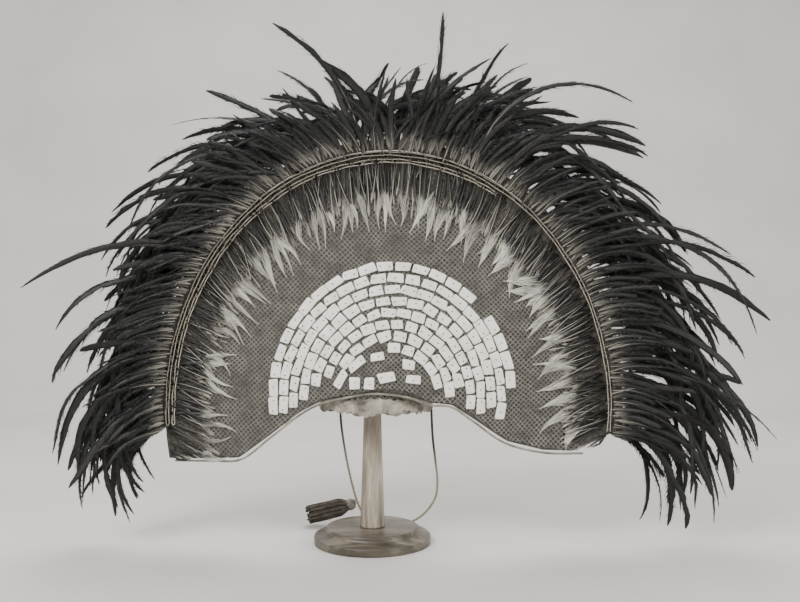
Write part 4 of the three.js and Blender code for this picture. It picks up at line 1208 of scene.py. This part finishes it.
def shortFeatherRing():
    rng = np.random.default_rng(shortRing["seed"])
    count = shortRing["count"]
    angle = np.linspace(fan["leftAngle"] - 0.6, fan["rightAngle"] + 0.4, count) + rng.normal(0, 0.35, count)
    lowLift = rng.uniform(*shortRing["lift"], count)
    path, flat, length = facePaths(
        angle, rng.normal(0, 1.6, count), shortRing["inner"] + rng.normal(0, 0.022, count),
        shortRing["outer"] - rng.uniform(0, 0.05, count), lowLift, lowLift + rng.uniform(-0.5, 0.5, count),
        rng.normal(0, 2.2, count), shortRing["samples"])
    sideways, face = featherFrames(path, flat, np.radians(rng.normal(0, 20, (count, 1)) + 0 * path[..., 0]))
    halfWidth = rng.uniform(*shortRing["halfWidth"], count)
    lightShaft = rng.random(count) < 0.4
    feather = {
        "path": path, "sideways": sideways, "face": face, "length": length, "halfWidth": halfWidth,
        "point": rng.uniform(2, 6, count), "cup": rng.uniform(0, 0.5, count),
        "tone": rng.normal(0, 0.10, count),
        "ribbon": rng.uniform(0.4, 0.8, count),
        "seed": rng.random(count), "pale": lambda at: 0.8 * np.clip(1 - at / 0.2, 0, 1),
        "stout": np.where(lightShaft, 1.15, 0.8), "shaftPale": np.where(lightShaft, 1.25, 0.5)}
    return featherShape(feather, shortRing, rng)


addObject("shortFeathers", shortFeatherRing(), shortFeather, ["short_feathers"])

downTufts = {
    "count": 66, "samples": 14, "barbs": 40, "inner": 0.690, "outer": 0.845, "halfWidth": (3.6, 9.5),
    "barbWidth": 1.05, "quill": 0.55, "seed": 9,
}


# Down tufts: barbs leave the shaft along its lower two thirds and end near the tuft's outer
# edge; a barb's sideways place grows with a power of its share. A bare quill goes on inwards.
def downTuftRing():
    rng = np.random.default_rng(downTufts["seed"])
    count, barbs = downTufts["count"], downTufts["barbs"]
    angle = np.linspace(fan["leftAngle"] - 4.0, fan["rightAngle"] + 2.0, count) + rng.normal(0, 0.7, count)
    rightSide = smoothstep(-angle, -110, -40)
    lowLift = rng.uniform(1.6, 3.4, count)
    path, flat, length = facePaths(
        angle, rng.normal(0, 2.8, count), downTufts["inner"] + rng.uniform(-0.02, 0.05, count),
        downTufts["outer"] + rng.uniform(-0.02, 0.02, count), lowLift, lowLift + 2.0,
        rng.normal(0, 4.0, count), downTufts["samples"])
    sideways, face = featherFrames(path, flat, np.radians(rng.normal(0, 12, (count, 1)) + 0 * path[..., 0]))
    low, high = downTufts["halfWidth"]
    halfWidth = (low + (high - low) * (0.25 * rng.random(count) + 0.75 * rightSide))[:, None]
    spot = np.linspace(-1, 1, barbs)[None] + rng.normal(0, 0.06, (count, barbs))
    begin = 0.05 + 0.6 * rng.random((count, barbs)) ** 1.5
    finish = 0.97 - 0.12 * np.abs(spot) ** 2 + rng.normal(0, 0.09, (count, barbs))
    power = rng.uniform(0.45, 0.85, (count, 1))
    lift = rng.normal(0.3, 1.0, (count, barbs))
    drift = rng.normal(0, 0.34, (count, barbs)) + rng.normal(0, 0.4, (count, 1))
    ring = circle(3, np.pi / 2)
    points, uv = [], []
    for out, thick in ((0.0, 0.7), (0.3, 1.0), (0.65, 1.0)):
        share = begin + (finish - begin) * out
        reach = halfWidth * (spot * out ** power + drift * out ** 2)
        middle = alongFeather(path, share) + alongFeather(sideways, share) * reach[..., None]
        middle = middle + alongFeather(face, share) * (lift * out)[..., None]
        width = downTufts["barbWidth"] / 2 * thick
        across = alongFeather(sideways, share)[:, :, None] * (width * ring[:, :1])
        up = alongFeather(face, share)[:, :, None] * (0.4 * ring[:, 1:])
        points.append(middle[:, :, None] + across + up)
        uv.append(np.stack(np.broadcast_arrays((share * length[:, None])[..., None],
                                               ring[None, None, :, 0] + spot[..., None] * 40), -1))
    reach = halfWidth * (spot + drift)
    tip = alongFeather(path, finish) + alongFeather(sideways, finish) * reach[..., None]
    tip = tip + alongFeather(face, finish) * lift[..., None]
    points.append(tip[:, :, None])
    uv.append(np.stack([finish * length[:, None], spot * 40], -1)[:, :, None])
    place = np.concatenate(points, 2)
    flatUv = np.concatenate(uv, 2) / 10
    faces = [np.array([[2, 1, 0], [6, 7, 9], [7, 8, 9], [8, 6, 9]]), gridFaces(3, 3, True)]
    spots = place.reshape(-1, 3)
    barbTone = rng.normal(0.05, 0.08, (count, 1)) + 0.1 * rightSide[:, None]
    barbTone = barbTone + rng.normal(0, 0.17, (count, barbs))
    shapes = [{"points": spots, "faces": outward(spots, repeatFaces(faces, count * barbs, 10)),
               "values": {"UVMap": flatUv.reshape(-1, 2), "tone": np.repeat(barbTone.ravel(), 10),
                          "pale": np.zeros(len(spots))}}]
    feather = {"path": path, "sideways": sideways, "face": face, "length": length, "stout": np.ones(count),
               "shaftPale": np.ones(count)}
    shaft = {"shaftRings": 8, "shaftRadius": downTufts["quill"], "ridge": 0.3, "shaftFade": 0.0}
    shapes.append(shaftShape(feather, shaft))
    return joined(shapes)


addObject("downTufts", downTuftRing(), down, ["pale_tufts"])
print("short feathers and tufts made")


caneStrips = {
    "reach": [1.0145, 1.001, 0.985, 0.973], "from": [183, 183, 183, 183], "to": [-5, -5, 60, 60],
    "radius": 0.7, "lift": 6.0, "dip": [0.4, 0.4, 3.4, 3.4],
}
lashing = {"radius": 0.5, "spacing": 11, "seed": 3}
rim = {
    "reach": 1.041, "radius": 5.3, "depths": [-21, -10, 1, 12], "wrap": 9.0, "from": 184.3, "to": -5.8,
    "points": 420, "sides": 8,
}


# Cane: a thin strip swept along its arc. Its reach wavers by slow sines, and where it is laced
# under the quills it dips towards the face.
def canePath(index, samples):
    angle = np.linspace(caneStrips["from"][index], caneStrips["to"][index], samples)
    waver = 0.0013 * np.sin(angle / 3.7 + index) + 0.0009 * np.sin(angle / 1.3 + 2 * index)
    x, z = fanPoint(angle, caneStrips["reach"][index] + waver)
    laced = 0.5 + 0.5 * np.sin(angle / 0.9 + 1.7 * index + np.sin(angle / 5))
    return onFace(x, z, caneStrips["lift"] - caneStrips["dip"][index] * laced)


def caneShape():
    shapes = [tube(canePath(index, 420), caneStrips["radius"], 8, (0, 1, 0)) for index in range(4)]
    ends = []
    for first, second in ((0, 1), (2, 3)):
        a, b = canePath(first, 60)[0], canePath(second, 60)[0]
        turn = np.linspace(0, np.pi, 14)[:, None]
        ends.append(tube((a + b) / 2 + (a - b) / 2 * np.cos(turn) + np.array([0, 0, -1]) * 4 * np.sin(turn),
                         caneStrips["radius"], 8, (0, 1, 0)))
    return joined(shapes + ends)


addObject("caneStrips", caneShape(), cane,
          ["cane_strip_outer_1", "cane_strip_outer_2", "cane_strip_inner_1", "cane_strip_inner_2"])


# Lashings: short threads that climb over the pair of strips and down again, a little askew. The
# height over the face grows with the root of one less the fourth power of the share across.
def lashingShape():
    rng = np.random.default_rng(lashing["seed"])
    shapes = []
    for middle, low, high in ((1.008, 183, -5), (0.9795, 183, 60)):
        count = int((low - high) * 6.3 / lashing["spacing"])
        angle = np.linspace(low - 0.5, high + 0.5, count) + rng.normal(0, 0.5, count)
        share = np.linspace(-1, 1, 9)[None]
        skew = rng.normal(0, 0.8, (count, 1))
        x, z = fanPoint(angle[:, None] + skew * share, middle + 0.0125 * share)
        lift = 3.4 + 4.8 * np.sqrt(np.clip(1 - share ** 4, 0, 1)) + rng.normal(0, 0.15, (count, 1))
        path = onFace(x, z, lift)
        points = sweep(path, np.broadcast_to(circle(4) * lashing["radius"], (count, 9, 4, 2)), (0, 0.05, 1.0))
        flat = points.reshape(-1, 3)
        run = share[..., None] + angle[:, None, None]
        uv = np.stack(np.broadcast_arrays(np.arange(4)[None, None] / 4, run), -1)
        shapes.append({"points": flat, "faces": outward(flat, repeatFaces(tubeFaces(9, 4), count, 36)),
                       "values": {"UVMap": uv.reshape(-1, 2)}})
    return joined(shapes)


addObject("caneLashings", lashingShape(), edgeFibre)


# Wrapped bundle: the radius swells by the absolute value of a sine with every wrap, and slowly
# wavers by a longer one.
def rimShape():
    angle = np.linspace(rim["from"], rim["to"], rim["points"])
    x, z = fanPoint(angle, rim["reach"])
    shapes = []
    for i, depth in enumerate(rim["depths"]):
        path = onFace(x, z, -depth)
        along = np.concatenate([[0], np.cumsum(np.linalg.norm(np.diff(path, axis=0), axis=1))])
        swell = 0.3 * np.abs(np.sin(np.pi * along / rim["wrap"] / 2))
        radius = rim["radius"] + swell + 0.3 * np.sin(along / 31 + i)
        shapes.append(tube(path, radius, rim["sides"], (0, 1, 0)))
    return joined(shapes)


addObject("boundRim", rimShape(), darkThread)
print("cane and rim made")

print("triangles in all:", sum(totals.values()))
